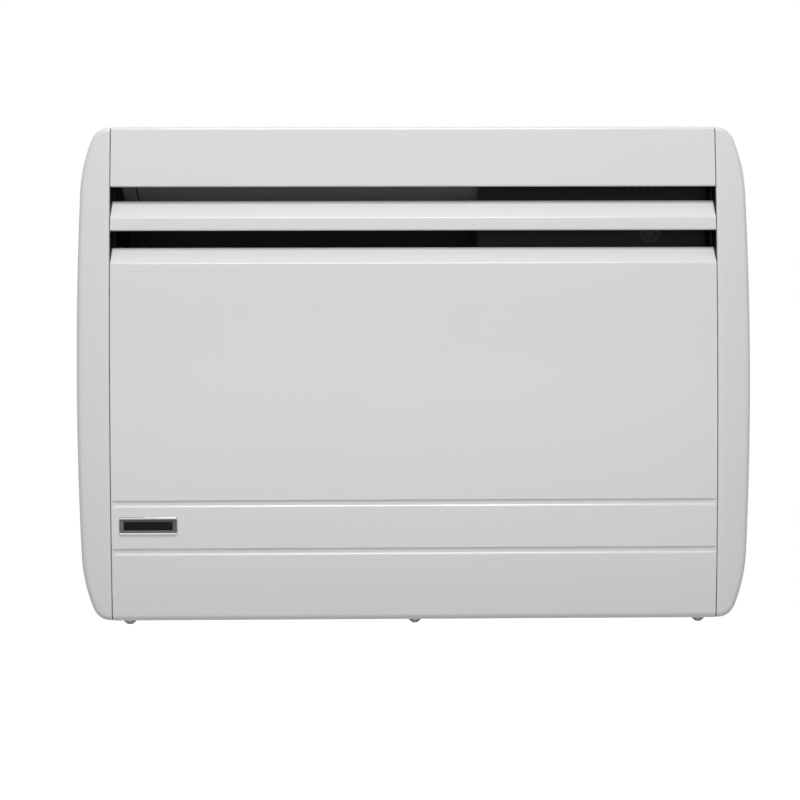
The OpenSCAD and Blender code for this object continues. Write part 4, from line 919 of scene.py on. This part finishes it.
# Camera: level with the lower half of the heater and a little to its left. Its place, its turn and its
# angle of view were fitted to the panel's edges in the photograph.
eye_x, eye_height, view_distance = -31.8 * MM, 194.94 * MM, 1.301
frame_pixels, focal_pixels = 800, 1444.5
camera_data = bpy.data.cameras.new("camera")
camera = new_object("camera", camera_data)
camera_data.sensor_width = 36
camera_data.lens = focal_pixels / frame_pixels * camera_data.sensor_width
camera_data.clip_start = 0.01
yaw, pitch, roll = np.radians([0.818, 0.205, -0.208])
right = np.array([math.cos(yaw), -math.sin(yaw), 0])
ahead = np.array([math.cos(pitch) * math.sin(yaw), math.cos(pitch) * math.cos(yaw), math.sin(pitch)])
above = np.cross(right, ahead)
rolled_right = math.cos(roll) * right + math.sin(roll) * above
rolled_above = math.cos(roll) * above - math.sin(roll) * right
turn = Matrix([[*row] for row in np.stack([rolled_right, rolled_above, -ahead], 1)]).to_4x4()
eye = Vector((eye_x, -standoff - body_depth - view_distance, floor_of_body + eye_height))
camera.matrix_world = Matrix.Translation(eye) @ turn
bpy.context.scene.camera = camera

# Studio: a pale floor far below, a white surround and soft lamps above and in front. The camera, mirrors
# and glass see the surround as plain white, and the floor as white where no shadow falls on it.
floor_z = floor_of_body - 0.9
floor_reach = 6.0


def light_path_seen(tree):
    """1 for camera rays and those off mirrors and through glass, 0 for the rays that carry the light."""
    path = add_node(tree, "LightPath").outputs
    seen = path["Is Camera Ray"]
    for other in (path["Is Glossy Ray"], path["Is Transmission Ray"]):
        seen = add_node(tree, "Math", {0: seen, 1: other}, operation="MAXIMUM")
    return seen


world = bpy.data.worlds.new("studio")
bpy.context.scene.world = world
world.use_nodes = True
tree = world.node_tree
tree.nodes.clear()
room = add_node(tree, "Background", {"Color": "FFFFFF", "Strength": 0.355})
white = add_node(tree, "Background", {"Color": "FFFFFF", "Strength": 1.0})
surround = add_node(tree, "MixShader", {0: light_path_seen(tree), 1: room, 2: white})
add_node(tree, "OutputWorld", {"Surface": surround})

floor_corners = floor_reach * np.array([(-1, -1, 0), (1, -1, 0), (1, 1, 0), (-1, 1, 0)]) + [0, 0, floor_z]
floor = mesh_of("floor", floor_corners, [(0, 1, 2, 3)])
floor_material, tree, shader, place = new_material("pale_floor")
glow = add_node(tree, "Math", {0: light_path_seen(tree), 1: 0.9}, operation="MULTIPLY")
fill_sockets(tree, shader, {"Base Color": "ABABAB", "Roughness": 0.9, "Emission Color": "FFFFFF",
                            "Emission Strength": glow})
floor.data.materials.append(floor_material)


def soft_lamp(name, at, aim, size, power, tint=(1, 1, 1)):
    """Rectangular soft box at one point, facing another."""
    data = bpy.data.lights.new(name, "AREA")
    data.shape = "RECTANGLE"
    data.size, data.size_y = size
    data.energy = power
    data.color = tint
    lamp = new_object(name, data)
    lamp.location = at
    lamp.rotation_euler = (Vector(aim) - Vector(at)).to_track_quat("-Z", "Y").to_euler()


soft_lamp("key", (-0.03, -1.1, 1.732), (0, -0.1, 0), (1.0, 0.35), 25.7)
soft_lamp("front_fill", (-0.05, -2.9, 0.5), (0, 0, 0), (2.4, 1.2), 6.3)
soft_lamp("low_fill", (-0.05, -2.9, -0.4), (0, 0, 0), (2.4, 1.0), 14.6, tint=(1, 0.94, 0.96))

bpy.context.scene.view_settings.view_transform = "Standard"
